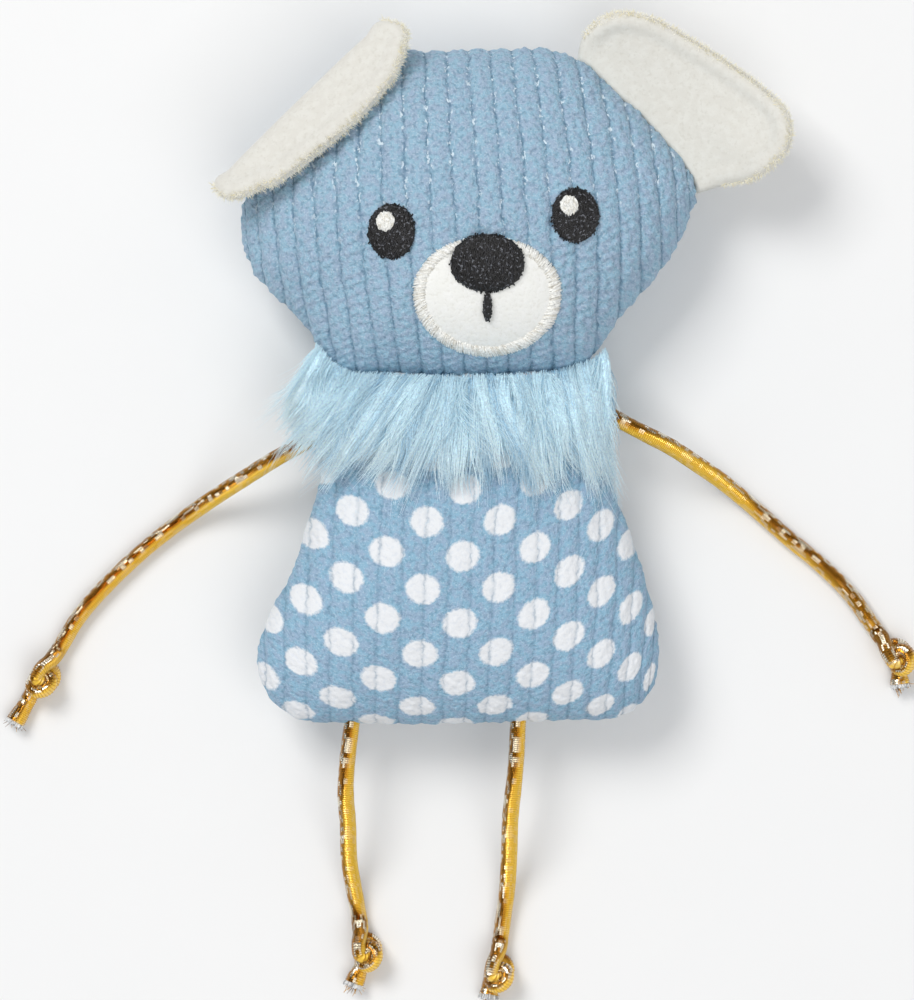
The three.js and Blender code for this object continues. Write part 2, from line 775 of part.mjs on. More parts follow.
// A tube of changing radius along points, closed by flat ends
function tubeGeometry(points, radii, sides) {
  const vertices = [];
  const triangles = [];
  let side = new THREE.Vector3(0, 0, 1);
  points.forEach((point, i) => {
    const before = points[Math.max(i - 1, 0)];
    const after = points[Math.min(i + 1, points.length - 1)];
    const ahead = after.clone().sub(before).normalize();
    side = side.clone().addScaledVector(ahead, -side.dot(ahead)).normalize();
    const across = ahead.clone().cross(side);
    for (let k = 0; k < sides; k += 1) {
      const angle = (k / sides) * 2 * Math.PI;
      const spoke = side.clone().multiplyScalar(Math.cos(angle) * radii[i]);
      vertices.push(spoke.addScaledVector(across, Math.sin(angle) * radii[i]).add(point));
    }
  });
  const at = (i, k) => i * sides + (k % sides);
  for (let i = 0; i + 1 < points.length; i += 1) {
    for (let k = 0; k < sides; k += 1) {
      triangles.push([at(i, k), at(i, k + 1), at(i + 1, k + 1)]);
      triangles.push([at(i, k), at(i + 1, k + 1), at(i + 1, k)]);
    }
  }
  const last = points.length - 1;
  for (let k = 1; k + 1 < sides; k += 1) {
    triangles.push([at(0, 0), at(0, k + 1), at(0, k)]);
    triangles.push([at(last, 0), at(last, k), at(last, k + 1)]);
  }
  return closedGeometry(vertices, triangles);
}

function knotTube(tail) {
  const curve = knotPath(tail);
  const points = curve.getSpacedPoints(knotStepCount);
  const radii = points.map((point) => {
    const reach = Math.hypot(point.x, point.y);
    const share = smooth((reach - knotThinReach) / (knotThickReach - knotThinReach));
    return knotStrandRadius + (cordRadius - knotStrandRadius) * share;
  });
  return { points, radii };
}

// Least distance between two runs of the tube that aren't next to each other
function leastGap({ points, radii }) {
  let least = Infinity;
  const lengths = [0];
  for (let i = 1; i < points.length; i += 1) {
    lengths.push(lengths[i - 1] + points[i].distanceTo(points[i - 1]));
  }
  for (let i = 0; i < points.length; i += 1) {
    for (let j = i + 1; j < points.length; j += 1) {
      const reach = radii[i] + radii[j];
      if (lengths[j] - lengths[i] > Math.PI * reach) {
        least = Math.min(least, points[i].distanceTo(points[j]) - reach);
      }
    }
  }
  return least;
}

// The knot is turned so that the cord enters it in the cord's own direction
function limb(name, angle, pixels, tail) {
  const exit = limbExit(angle);
  const route = limbRoute(exit, pixels);
  const centre = route[route.length - 1];
  const straightRun = knotApproach + 2 * cordDiameter;
  const free = route.filter((point) => point.distanceTo(centre) > straightRun);
  const ahead = centre.clone().sub(free[free.length - 1]).setZ(0).normalize();
  const heading = Math.atan2(ahead.y, ahead.x) - Math.PI / 2;
  for (const reach of [knotApproach + cordDiameter, knotApproach + clearance]) {
    free.push(centre.clone().addScaledVector(ahead, -reach));
  }
  const tube = knotTube(tail);
  console.log(name, "least gap inside the knot", leastGap(tube).toFixed(2), "mm");
  const knot = tubeGeometry(tube.points, tube.radii, knotSides);
  const last = tube.points[tube.points.length - 1];
  const before = tube.points[tube.points.length - 2];
  const radius = tube.radii[tube.radii.length - 1];
  const way = last.clone().sub(before).normalize();
  const flare = radius * coreFlareShare;
  const core = new THREE.CylinderGeometry(flare, radius, coreLength, coreSides);
  core.applyQuaternion(
    new THREE.Quaternion().setFromUnitVectors(new THREE.Vector3(0, 1, 0), way),
  );
  const place = last.clone().addScaledVector(way, clearance + coreLength / 2);
  core.translate(place.x, place.y, place.z);
  for (const piece of [knot, core]) {
    piece.rotateZ(heading);
    piece.translate(centre.x, centre.y, centre.z);
  }
  const cord = geometryOf(cordSolid(free));
  return { name, exit: new THREE.Vector3(exit.x, exit.y, seamLevel), cord, knot, core };
}

const limbs = [
  limb("left_arm", leftArmAngle, leftArmPixels, leftArmTail),
  limb("right_arm", rightArmAngle, rightArmPixels, rightArmTail),
  limb("left_leg", leftLegAngle, leftLegPixels, leftLegTail),
  limb("right_leg", rightLegAngle, rightLegPixels, rightLegTail),
];

// Scene: each moving piece sits in a group at its own pivot
function pivotAt(parent, point, origin) {
  const group = new THREE.Group();
  group.position.copy(point).sub(origin);
  parent.add(group);
  return group;
}

function addPiece(parent, name, geometry, material, origin) {
  geometry.translate(-origin.x, -origin.y, -origin.z);
  const flat = geometry.index ? geometry.toNonIndexed() : geometry;
  flat.computeVertexNormals();
  const mesh = new THREE.Mesh(flat, material);
  mesh.name = name;
  parent.add(mesh);
}

const toy = new THREE.Group();
const ground = new THREE.Vector3(0, 0, 0);
const addTo = (parent, origin, pieces) => {
  for (const [name, geometry, material] of pieces) {
    addPiece(parent, name, geometry, material, origin);
  }
};
addTo(toy, ground, [
  ["body_front_panel", geometryOf(bodyShells[0]), cloth(colours.bodyCorduroy)],
  ["body_back_panel", geometryOf(bodyShells[1]), cloth(colours.bodyCorduroy)],
  ["body_stuffing", geometryOf(bodyStuffing), cloth(colours.stuffing)],
  ["collar_front_fur", geometryOf(collarFront), cloth(colours.fur)],
  ["collar_back_fur", geometryOf(collarBack), cloth(colours.fur)],
]);

const neck = new THREE.Vector3(0, 0, seamLevel);
const headPivot = pivotAt(toy, neck, ground);
addTo(headPivot, neck, [
  ["head_front_panel", geometryOf(headShells[0]), cloth(colours.headCorduroy)],
  ["head_back_panel", geometryOf(headShells[1]), cloth(colours.headCorduroy)],
  ["head_stuffing", geometryOf(headStuffing), cloth(colours.stuffing)],
  ["muzzle_patch", muzzlePatch, cloth(colours.plush)],
  ["muzzle_border_stitch", muzzleBorder, cloth(colours.stitch)],
  ["nose_embroidery", nose, cloth(colours.blackThread)],
  ["mouth_stitch", mouth, cloth(colours.blackThread)],
  ["left_eye_embroidery", leftEye, cloth(colours.blackThread)],
  ["left_eye_highlight", leftHighlight, cloth(colours.stitch)],
  ["right_eye_embroidery", rightEye, cloth(colours.blackThread)],
  ["right_eye_highlight", rightHighlight, cloth(colours.stitch)],
]);

for (const [side, frame, front, back] of [
  ["left", leftEar.frame, leftEarFront, leftEarBack],
  ["right", rightEar.frame, rightEarFront, rightEarBack],
]) {
  const hinge = new THREE.Vector3(frame.origin.x, frame.origin.y, seamLevel);
  const pivot = pivotAt(headPivot, hinge, neck);
  pivot.userData.hingeAlong = [frame.along.x, frame.along.y, 0];
  addTo(pivot, hinge, [
    [`${side}_ear_front_layer`, front, cloth(colours.plush)],
    [`${side}_ear_back_layer`, back, cloth(colours.plush)],
  ]);
}

for (const { name, exit, cord, knot, core } of limbs) {
  const pivot = pivotAt(toy, exit, ground);
  addTo(pivot, exit, [
    [`${name}_cord`, cord, metallic(colours.gold)],
    [`${name}_knot`, knot, metallic(colours.gold)],
    [`${name}_core_end`, core, cloth(colours.core)],
  ]);
}

// The origin is the middle of the stuffed toy's footprint, without its cords
toy.updateMatrixWorld(true);
const footprint = new THREE.Box3();
toy.traverse((item) => {
  const isCord = /_(cord|knot|core_end)$/.test(item.name);
  if (item.isMesh && !isCord) footprint.expandByObject(item, true);
});
const middle = footprint.getCenter(new THREE.Vector3());
const group = new THREE.Group();
toy.position.set(-middle.x, -middle.y, 0);
group.add(toy);
group.updateMatrixWorld(true);

export default group;
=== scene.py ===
"""Visual model of a plush mouse toy for cats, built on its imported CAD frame.

The toy lies on its back with its face up. +Z is up, +Y points from the legs to
the head, and every length is in metres. Each sub-assembly is one class: the two
stuffed pouches, the face, the ears, the fur collar and the elastic cord limbs.
"""

import json
import logging
import math
from collections.abc import Callable, Sequence
from dataclasses import dataclass
from enum import Enum

import bpy
import numpy as np
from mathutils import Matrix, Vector


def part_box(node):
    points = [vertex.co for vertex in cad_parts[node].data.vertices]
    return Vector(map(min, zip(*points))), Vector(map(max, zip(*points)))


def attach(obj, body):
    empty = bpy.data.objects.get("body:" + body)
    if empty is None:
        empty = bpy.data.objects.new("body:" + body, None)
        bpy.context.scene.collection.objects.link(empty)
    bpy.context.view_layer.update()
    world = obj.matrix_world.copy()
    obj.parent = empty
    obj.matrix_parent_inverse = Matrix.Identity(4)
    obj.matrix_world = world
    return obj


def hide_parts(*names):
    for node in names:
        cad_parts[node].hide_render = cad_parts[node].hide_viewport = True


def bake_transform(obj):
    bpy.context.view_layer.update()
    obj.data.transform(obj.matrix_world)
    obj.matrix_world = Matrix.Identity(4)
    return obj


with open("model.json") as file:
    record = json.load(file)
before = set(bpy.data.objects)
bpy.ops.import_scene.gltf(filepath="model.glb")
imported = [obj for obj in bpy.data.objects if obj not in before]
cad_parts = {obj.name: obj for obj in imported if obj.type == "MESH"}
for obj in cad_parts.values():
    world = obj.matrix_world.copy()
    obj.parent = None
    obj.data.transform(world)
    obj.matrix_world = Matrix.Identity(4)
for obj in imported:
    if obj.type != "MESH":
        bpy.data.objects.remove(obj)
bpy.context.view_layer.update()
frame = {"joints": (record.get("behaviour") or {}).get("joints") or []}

log = logging.getLogger("mouse_toy")

MM = 0.001
FULL_TURN = 2 * math.pi
JOINTS = {joint["name"]: joint for joint in frame["joints"]}
NECK = np.array(JOINTS["neck_nod"]["pos_m"])
SEAM_LEVEL = float(NECK[2])
UP = np.array([0.0, 0.0, 1.0])

Colour = tuple[float, float, float, float]
Pixel = tuple[float, float]
Shares = tuple[float, ...]
Array = np.ndarray
Oval = tuple[Array, Array]
Material = bpy.types.Material
Piece = bpy.types.Object


class Side(Enum):
    """The two skins of a stuffed pouch; the value is the sign of their height."""

    FRONT = 1
    BACK = -1


# ---- plain maths


def linear(red: float, green: float, blue: float) -> Colour:
    """Turn a screen colour into the linear colour that shaders use.

    Args:
        red, green, blue: screen values from 0 to 255.

    Returns:
        The linear colour with full alpha.
    """
    share = np.array([red, green, blue]) / 255
    low = share / 12.92
    high = ((share + 0.055) / 1.055) ** 2.4
    return (*np.where(share <= 0.04045, low, high).tolist(), 1.0)


def ease(share: Array) -> Array:
    """Smooth step: 0 below 0, 1 above 1, and 3t^2 - 2t^3 between."""
    t = np.clip(share, 0, 1)
    return t * t * (3 - 2 * t)


def around(shares: Sequence[float], angle: Array) -> Array:
    """Read a closed table of shares at angles, on a smooth curve through it.

    The curve is a Catmull-Rom cubic through four neighbouring entries.

    Args:
        shares: one entry for each equal step of a full turn.
        angle: angles in radians.

    Returns:
        The share at each angle.
    """
    table = np.asarray(shares)
    count = len(table)
    place = (angle / FULL_TURN) % 1 * count
    i = np.floor(place).astype(int) % count
    t = place - np.floor(place)
    a, b, c, d = (table[(i + step) % count] for step in (-1, 0, 1, 2))
    square = t * t * (2 * a - 5 * b + 4 * c - d)
    cube = t * t * t * (3 * b - a - 3 * c + d)
    return (2 * b + t * (c - a) + square + cube) / 2


def along(places: Sequence[float], values: Sequence, at: Array) -> Array:
    """Read an open table at places, on a smooth curve through its entries.

    Args:
        places: rising places of the entries.
        values: one number or point for each place.
        at: places to read.

    Returns:
        The values there, one row for each place read.
    """
    x = np.asarray(places, float)
    y = np.asarray(values, float)
    slope = np.gradient(y, x, axis=0)
    i = np.clip(np.searchsorted(x, at, side="right") - 1, 0, len(x) - 2)
    step = x[i + 1] - x[i]
    t = np.clip((at - x[i]) / step, 0, 1)
    if y.ndim > 1:
        t, step = t[..., None], step[..., None]
    square, cube = t * t, t * t * t
    start = (2 * cube - 3 * square + 1) * y[i] + (cube - 2 * square + t) * step * slope[i]
    end = (3 * square - 2 * cube) * y[i + 1] + (cube - square) * step * slope[i + 1]
    return start + end


def waves(x: Array, y: Array, length: float, seed: int) -> Array:
    """Make a smooth field without a visible repeat, from -1 to 1.

    The field is the mean of six sine waves with seeded directions, phases and
    wavelengths near the given length.

    Args:
        x, y: places, in metres.
        length: mean wavelength, in metres.
        seed: number that picks the waves.

    Returns:
        The field at each place.
    """
    rng = np.random.default_rng(seed)
    total = np.zeros_like(x, dtype=float)
    for turn, phase, stretch in rng.random((6, 3)):
        angle = turn * FULL_TURN
        rate = FULL_TURN / (length * (0.7 + 0.7 * stretch))
        total += np.sin(rate * (x * math.cos(angle) + y * math.sin(angle)) + phase * FULL_TURN)
    return total / 6


def travelled(points: Array) -> Array:
    """Return the length of a line of points up to each of them."""
    return np.concatenate([[0], np.cumsum(np.linalg.norm(np.diff(points, axis=0), axis=1))])


def unit(vectors: Array) -> Array:
    """Scale vectors to length one along their last axis."""
    size = np.linalg.norm(vectors, axis=-1, keepdims=True)
    return vectors / np.where(size > 0, size, 1)


# ---- meshes and pieces


def grid_faces(rows: int, columns: int, flip: bool = False, ring: bool = False) -> Array:
    """List the quads of a grid whose vertices are stored row by row.

    Args:
        rows, columns: vertices each way.
        flip: turn the faces over.
        ring: join each row's last vertex to its first.

    Returns:
        One row of four vertex numbers for each quad.
    """
    index = np.arange(rows * columns).reshape(rows, columns)
    if ring:
        index = np.concatenate([index, index[:, :1]], axis=1)
    corners = [index[:-1, :-1], index[1:, :-1], index[1:, 1:], index[:-1, 1:]]
    quads = np.stack(corners, axis=-1).reshape(-1, 4)
    return quads[:, ::-1] if flip else quads


def add_piece(
    name: str,
    body: str | None,
    vertices: Array,
    faces: Array,
    material: Material,
    layers: dict[str, Array] | None = None,
) -> Piece:
    """Make one mesh object and let it ride on a CAD body.

    Args:
        name: name of the piece.
        body: CAD body that it moves with, or none.
        vertices: points, one row each.
        faces: quads or triangles, one row each.
        material: its finish.
        layers: coordinate layers by name, two numbers for each vertex.

    Returns:
        The new object.
    """
    points = vertices.reshape(-1, 3).astype(np.float32)
    corners = faces.astype(np.int32)
    mesh = bpy.data.meshes.new(name)
    mesh.vertices.add(len(points))
    mesh.vertices.foreach_set("co", points.ravel())
    mesh.loops.add(corners.size)
    mesh.loops.foreach_set("vertex_index", corners.ravel())
    mesh.polygons.add(len(corners))
    mesh.polygons.foreach_set("loop_start", np.arange(0, corners.size, corners.shape[1]))
    mesh.polygons.foreach_set("use_smooth", np.ones(len(corners), dtype=bool))
    for layer, pairs in (layers or {}).items():
        uv = mesh.uv_layers.new(name=layer)
        uv.data.foreach_set("uv", pairs.reshape(-1, 2)[corners.ravel()].astype(np.float32).ravel())
    mesh.update(calc_edges=True)
    mesh.validate()
    mesh.materials.append(material)
    piece = bpy.data.objects.new(name, mesh)
    show(piece)
    if body:
        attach(piece, body)
    log.info("%s: %d faces on %s", name, len(corners), body)
    return piece


def show(item: Piece) -> None:
    """Put an object into the scene."""
    bpy.context.scene.collection.objects.link(item)


@dataclass
class Tubes:
    """Many tubes at once, as arrays ready for a mesh.

    Attributes:
        vertices: points of all rings.
        faces: quads between the rings.
        layer: for each vertex, the strand's own tone and the share of its length.
    """

    vertices: Array
    faces: Array
    layer: Array

    def add(self, name: str, body: str | None, material: Material) -> Piece:
        """Make them a piece, with the "strand" layer that the strands' finishes read."""
        return add_piece(name, body, self.vertices, self.faces, material, {"strand": self.layer})


def make_tubes(paths: Array, radii: Array, sides: int, tones: Array) -> Tubes:
    """Put a round section along each path, without twist.

    Each ring's first spoke is the previous ring's, with the part along the new
    direction taken out.

    Args:
        paths: centre points, shaped (strands, steps, 3).
        radii: radius at each centre point, shaped (strands, steps).
        sides: points on each ring.
        tones: one number from 0 to 1 for each strand.

    Returns:
        The tubes.
    """
    strands, steps = paths.shape[:2]
    ahead = unit(np.gradient(paths, axis=1))
    spoke = np.zeros_like(paths)
    start = np.where(np.abs(ahead[:, 0, 2:3]) < 0.8, UP, np.array([1.0, 0.0, 0.0]))
    for step in range(steps):
        last = start if step == 0 else spoke[:, step - 1]
        now = ahead[:, step]
        spoke[:, step] = unit(last - now * np.sum(last * now, axis=1, keepdims=True))
    across = np.cross(ahead, spoke)
    turn = np.arange(sides) / sides * FULL_TURN
    ring = spoke[:, :, None] * np.cos(turn)[:, None] + across[:, :, None] * np.sin(turn)[:, None]
    vertices = paths[:, :, None] + ring * radii[:, :, None, None]
    one = grid_faces(steps, sides, ring=True)
    shift = np.arange(strands)[:, None, None] * steps * sides
    share = np.broadcast_to(np.linspace(0, 1, steps)[None, :, None], vertices.shape[:3])
    tone = np.broadcast_to(tones[:, None, None], vertices.shape[:3])
    layer = np.stack([tone, share], axis=-1)
    return Tubes(vertices.reshape(-1, 3), (one + shift).reshape(-1, 4), layer.reshape(-1, 2))


def hairs(
    root: Array, way: Array, length: Array, bend: Array, steps: Array
) -> Array:
    """Run hairs from their roots, bent aside as the square of the share of their length.

    Args:
        root, way: first point and direction of each.
        length: length of each.
        bend: how far the tip of each is moved.
        steps: shares of the length to put points at.

    Returns:
        Their paths, shaped (hairs, steps, 3).
    """
    straight = root[:, None] + way[:, None] * (steps[:, None] * length[:, None, None])
    return straight + bend[:, None] * (steps**2)[:, None]


def spaced(points: Array, spacing: float) -> Array:
    """Draw one smooth curve through points and cut it into equal steps.

    The curve is read on a table whose places are the square roots of the chord
    lengths, so that close points don't make it swing.

    Args:
        points: points that it passes through.
        spacing: wanted step, in metres.

    Returns:
        Points along the curve.
    """
    chords = np.sqrt(np.linalg.norm(np.diff(points, axis=0), axis=1))
    places = np.concatenate([[0], np.cumsum(chords)])
    fine = along(places, points, np.linspace(0, places[-1], 60 * len(points)))
    run = travelled(fine)
    count = max(int(round(run[-1] / spacing)), 2)
    even = np.linspace(0, run[-1], count + 1)
    return np.stack([np.interp(even, run, fine[:, axis]) for axis in range(3)], axis=1)


# ---- shaders


class Value:
    """A number, colour or vector in a node tree; sums and products of it are math nodes."""

    def __init__(self, graph: "Graph", socket: bpy.types.NodeSocket) -> None:
        """Keep a node's output with the graph that it belongs to."""
        self.graph = graph
        self.socket = socket

    def __add__(self, other: "Value | float") -> "Value":
        """Add."""
        return self.graph.math("ADD", self, other)

    def __sub__(self, other: "Value | float") -> "Value":
        """Subtract."""
        return self.graph.math("SUBTRACT", self, other)

    def __rsub__(self, other: float) -> "Value":
        """Subtract from a plain number."""
        return self.graph.math("SUBTRACT", other, self)

    def __mul__(self, other: "Value | float") -> "Value":
        """Multiply."""
        return self.graph.math("MULTIPLY", self, other)

    def __truediv__(self, other: "Value | float") -> "Value":
        """Divide."""
        return self.graph.math("DIVIDE", self, other)


Number = Value | float
Shade = Value | Colour


class Graph:
    """Short names for building one node tree."""

    def __init__(self, tree: bpy.types.NodeTree) -> None:
        """Keep the tree to build in."""
        self.tree = tree

    def join(self, values: dict, inputs: bpy.types.bpy_prop_collection) -> None:
        """Link values to inputs, by name or number, and set those that are plain.

        Args:
            values: values or plain numbers, by name or number.
            inputs: inputs of a node.
        """
        for key, value in values.items():
            if isinstance(value, Value):
                self.tree.links.new(value.socket, inputs[key])
            else:
                inputs[key].default_value = value

    def node(self, kind: str, values: dict | None = None, **settings: object) -> bpy.types.Node:
        """Add a node.

        Args:
            kind: type of the node.
            values: its inputs by name or number.
            settings: its properties.

        Returns:
            The new node.
        """
        node = self.tree.nodes.new(kind)
        for name, setting in settings.items():
            setattr(node, name, setting)
        self.join(values or {}, node.inputs)
        return node

    def add(
        self, kind: str, output: str | int, values: dict | None = None, **settings: object
    ) -> Value:
        """Add a node and return one of its outputs."""
        return Value(self, self.node(kind, values, **settings).outputs[output])

    def math(self, operation: str, *values: Number, clamp: bool = False) -> Value:
        """Add a math node and return its result."""
        inputs = dict(enumerate(values))
        return self.add("ShaderNodeMath", 0, inputs, operation=operation, use_clamp=clamp)

    def ramp(
        self, value: Value, low: Number, high: Number, start: float = 0.0, end: float = 1.0
    ) -> Value:
        """Map low..high smoothly to start..end."""
        inputs = {"Value": value, "From Min": low, "From Max": high, "To Min": start, "To Max": end}
        return self.add("ShaderNodeMapRange", "Result", inputs, interpolation_type="SMOOTHSTEP")

    def mix(self, share: Number, first: Shade, second: Shade, blend: str = "MIX") -> Value:
        """Mix two colours by a share."""
        inputs = {0: share, 6: first, 7: second}
        return self.add("ShaderNodeMix", 2, inputs, data_type="RGBA", blend_type=blend)

    def noise(
        self,
        vector: Value,
        scale: Number,
        detail: float = 2.0,
        stretch: tuple[float, float, float] | None = None,
        roughness: float = 0.6,
    ) -> Value:
        """Add a noise texture, with its coordinates stretched if asked.

        Args:
            vector: coordinates.
            scale, detail, roughness: as the node has them.
            stretch: factors of the coordinates, if any.

        Returns:
            The noise, from 0 to 1.
        """
        if stretch is not None:
            inputs = {0: vector, 1: stretch}
            vector = self.add("ShaderNodeVectorMath", 0, inputs, operation="MULTIPLY")
        inputs = {"Vector": vector, "Scale": scale, "Detail": detail, "Roughness": roughness}
        return self.add("ShaderNodeTexNoise", "Fac", inputs)

    def layer(self, name: str) -> Value:
        """Read a coordinate layer of the mesh."""
        return self.add("ShaderNodeUVMap", "UV", uv_map=name)

    def place(self) -> Value:
        """Read the object's own coordinates."""
        return self.add("ShaderNodeTexCoord", "Object")

    def parts(self, vector: Value) -> list[Value]:
        """Split a vector into its numbers."""
        node = self.node("ShaderNodeSeparateXYZ", {0: vector})
        return [Value(self, output) for output in node.outputs]

    def bump(
        self, height: Value, distance: float, strength: float = 1.0, normal: Value | None = None
    ) -> Value:
        """Turn a height from 0 to 1 into a normal, on top of another one if given.

        Args:
            height: the height.
            distance, strength: as the node has them.
            normal: the normal to build on, if any.

        Returns:
            The normal.
        """
        inputs = {"Height": height, "Distance": distance, "Strength": strength}
        if normal is not None:
            inputs["Normal"] = normal
        return self.add("ShaderNodeBump", "Normal", inputs)

    def effect(self, group: bpy.types.NodeTree, values: dict) -> dict[str, Value]:
        """Use a shared effect and return its outputs by name."""
        node = self.node("ShaderNodeGroup", values, node_tree=group)
        return {output.name: Value(self, output) for output in node.outputs}


def new_effect(
    name: str, vector: str, numbers: Sequence[str], recipe: Callable
) -> bpy.types.NodeTree:
    """Build a node group that materials share.

    Args:
        name: name of the group.
        vector: name of its first input, the coordinates.
        numbers: names of its other inputs.
        recipe: takes the group's graph and inputs and returns its outputs by name.

    Returns:
        The group.
    """
    tree = bpy.data.node_groups.new(name, "ShaderNodeTree")
    tree.interface.new_socket(vector, in_out="INPUT", socket_type="NodeSocketVector")
    for label in numbers:
        tree.interface.new_socket(label, in_out="INPUT", socket_type="NodeSocketFloat")
    graph = Graph(tree)
    entry = graph.node("NodeGroupInput")
    results = recipe(graph, *(Value(graph, entry.outputs[label]) for label in (vector, *numbers)))
    for label in results:
        tree.interface.new_socket(label, in_out="OUTPUT", socket_type="NodeSocketFloat")
    graph.node("NodeGroupOutput", results)
    return tree


def rib_recipe(graph: Graph, wale: Value, pitch: Value, groove: Value, shake: Value) -> dict:
    """Corduroy ribs: a rib's rounded height, its groove and the glints in the groove.

    The distance from the nearest groove, in rib widths, is the ping-pong of the
    cross coordinate over the pitch, shaken a little by noise.

    Args:
        graph: the group's graph.
        wale: coordinates across and along the ribs.
        pitch, groove: widths of a rib and, as a share of it, of a groove.
        shake: how far the grooves waver.

    Returns:
        The group's outputs by name.
    """
    fine = graph.noise(wale, scale=1300, detail=3, stretch=(1, 0.8, 1))
    coarse = graph.noise(wale, scale=420, detail=2, stretch=(0.4, 1.3, 1))
    shaken = (fine * 0.6 + coarse * 0.4 - 0.5) * shake
    middle = graph.math("PINGPONG", graph.parts(wale)[0] / pitch + shaken, 0.5)
    pits = graph.noise(wale, scale=620, detail=2, stretch=(0.6, 1, 1))
    pits = graph.ramp(pits, low=0.4, high=0.62)
    soft = graph.ramp(middle, low=0.0, high=groove, start=1.0, end=0.0) * 0.45
    line = graph.ramp(middle, low=0.0, high=groove * 0.45, start=1.0, end=0.0)
    spark = graph.noise(wale, scale=1250, detail=2, stretch=(1.2, 0.6, 1))
    spark = graph.ramp(spark, low=0.56, high=0.64)
    return {
        "Height": graph.math("POWER", middle * 2, 0.45),
        "Groove": graph.math("ADD", soft, line * pits, clamp=True),
        "Glint": spark * graph.ramp(middle, low=0.05, high=0.17, start=1.0, end=0.0),
    }


def dot_recipe(
    graph: Graph, cloth: Value, width: Value, height: Value, radius: Value, edge: Value
) -> dict:
    """Printed dots in alternate columns, with an edge that the pile breaks up.

    A dot's column is the nearest whole number of column steps; odd columns are
    half a row lower. A dot is a little wider than it is high. The mask fades over
    the edge width, shaken by noise.

    Args:
        graph: the group's graph.
        cloth: coordinates on the cloth.
        width, height: steps between columns and between rows.
        radius, edge: size of a dot and of its faded edge.

    Returns:
        The group's outputs by name.
    """
    across, down, _ = graph.parts(cloth)
    column = across / width
    number = graph.math("ROUND", column)
    row = down / height + graph.math("PINGPONG", number, 1.0) * 0.5
    side = (column - number) * width
    rise = (row - graph.math("ROUND", row)) * (height * 1.12)
    reach = graph.math("SQRT", graph.math("POWER", side, 2.0) + graph.math("POWER", rise, 2.0))
    fine = (graph.noise(cloth, scale=1500, detail=3) - 0.5) * 2.2
    coarse = (graph.noise(cloth, scale=330, detail=2) - 0.5) * 1.6
    outside = (reach + (fine + coarse) * edge - radius) / edge
    return {"Mask": graph.math("SUBTRACT", 0.5, outside, clamp=True)}


def pile_recipe(graph: Graph, place: Value, scale: Value) -> dict:
    """Short pile: fine tufts as a height, slow patches where it lies over, and specks.

    Args:
        graph: the group's graph.
        place: coordinates.
        scale: tufts to a metre.

    Returns:
        The group's outputs by name.
    """
    return {
        "Height": graph.noise(place, scale=scale, detail=4.0, roughness=0.5),
        "Patch": graph.noise(place, scale=scale / 2.2, detail=3.0, roughness=0.5),
        "Speck": graph.noise(place, scale=scale * 2.2, detail=1.0, roughness=0.5),
    }


def twine_recipe(graph: Graph, twine: Value, pitch: Value, count: Value) -> dict:
    """Wrapped metallic yarn: rings round the cord, and facets that catch the light.

    The layer holds the turn round the cord, from 0 to 1, and the length along
    it in metres. Each facet has its own slope: its height is its random number
    times the share of the way across it, and each lane's facets start at their
    own place.

    Args:
        graph: the group's graph.
        twine: the "twine" layer.
        pitch: length of a ring.
        count: lanes of facets round the cord.

    Returns:
        The group's outputs by name.
    """
    turn, run, _ = graph.parts(twine)
    lanes = turn * count
    lean = run / pitch + turn
    lane = graph.math("FLOOR", lanes)
    start = graph.add("ShaderNodeTexWhiteNoise", "Value", {"W": lane}, noise_dimensions="1D")
    place = graph.math("FLOOR", lean * 0.4 + start * 5.0)
    cell = graph.add("ShaderNodeCombineXYZ", 0, {0: lane, 1: place})
    facet = graph.add("ShaderNodeTexWhiteNoise", "Value", {"Vector": cell})
    wide = graph.add("ShaderNodeCombineXYZ", 0, {0: turn, 1: run * 60})
    return {
        "Ring": graph.math("PINGPONG", lean, 0.5) * 2.0,
        "Facet": facet,
        "Slope": graph.math("FRACT", lanes) * (facet - 0.5),
        "Wear": graph.noise(wide, scale=4.0, detail=2),
    }


RIBS = new_effect("corduroy_ribs", "Wale", ("Pitch", "Groove", "Shake"), rib_recipe)
DOTS = new_effect("printed_dots", "Cloth", ("Column", "Row", "Radius", "Edge"), dot_recipe)
PILE = new_effect("short_pile", "Place", ("Scale",), pile_recipe)
TWINE = new_effect("wrapped_yarn", "Twine", ("Pitch", "Lanes"), twine_recipe)


def new_material(name: str) -> tuple[Material, Graph, bpy.types.bpy_prop_collection]:
    """Start a material.

    Args:
        name: name of the material.

    Returns:
        The material, its graph and the inputs of its surface.
    """
    material = bpy.data.materials.new(name)
    material.use_nodes = True
    surface = material.node_tree.nodes["Principled BSDF"]
    return material, Graph(material.node_tree), surface.inputs


@dataclass(frozen=True)
class CorduroyFinish:
    """Colours and sizes of a corduroy cloth.

    Attributes:
        name: name of the material.
        pitch: width of a rib, in metres.
        light, main, cool: the pile's colours, lit, usual and where it lies over.
        groove: colour of a groove, darker as painted shade in the recess; also the painted shade
            between tufts.
        glint: colour of the bare threads in a groove.
        glint_share: how much of the grooves shows bare threads.
        groove_share: how dark the grooves are.
        tufts: how rough its pile is.
        dot: colour of the printed dots, or none.
        dot_shade: their colour between tufts, painted shade.
        dot_column, dot_row, dot_radius, dot_edge: steps and sizes of the dots.
        bare_from, bare_run: place along the ribs where more bare threads begin to
            show, and how far it takes until all do.
    """

    name: str
    pitch: float
    light: Colour
    main: Colour
    cool: Colour
    groove: Colour
    glint: Colour
    glint_share: float
    groove_share: float
    tufts: float
    dot: Colour | None = None
    dot_shade: Colour = linear(205, 212, 222)
    dot_column: float = 6.85 * MM
    dot_row: float = 12.1 * MM
    dot_radius: float = 3.05 * MM
    dot_edge: float = 0.55 * MM
    bare_from: float = -14 * MM
    bare_run: float = 26 * MM


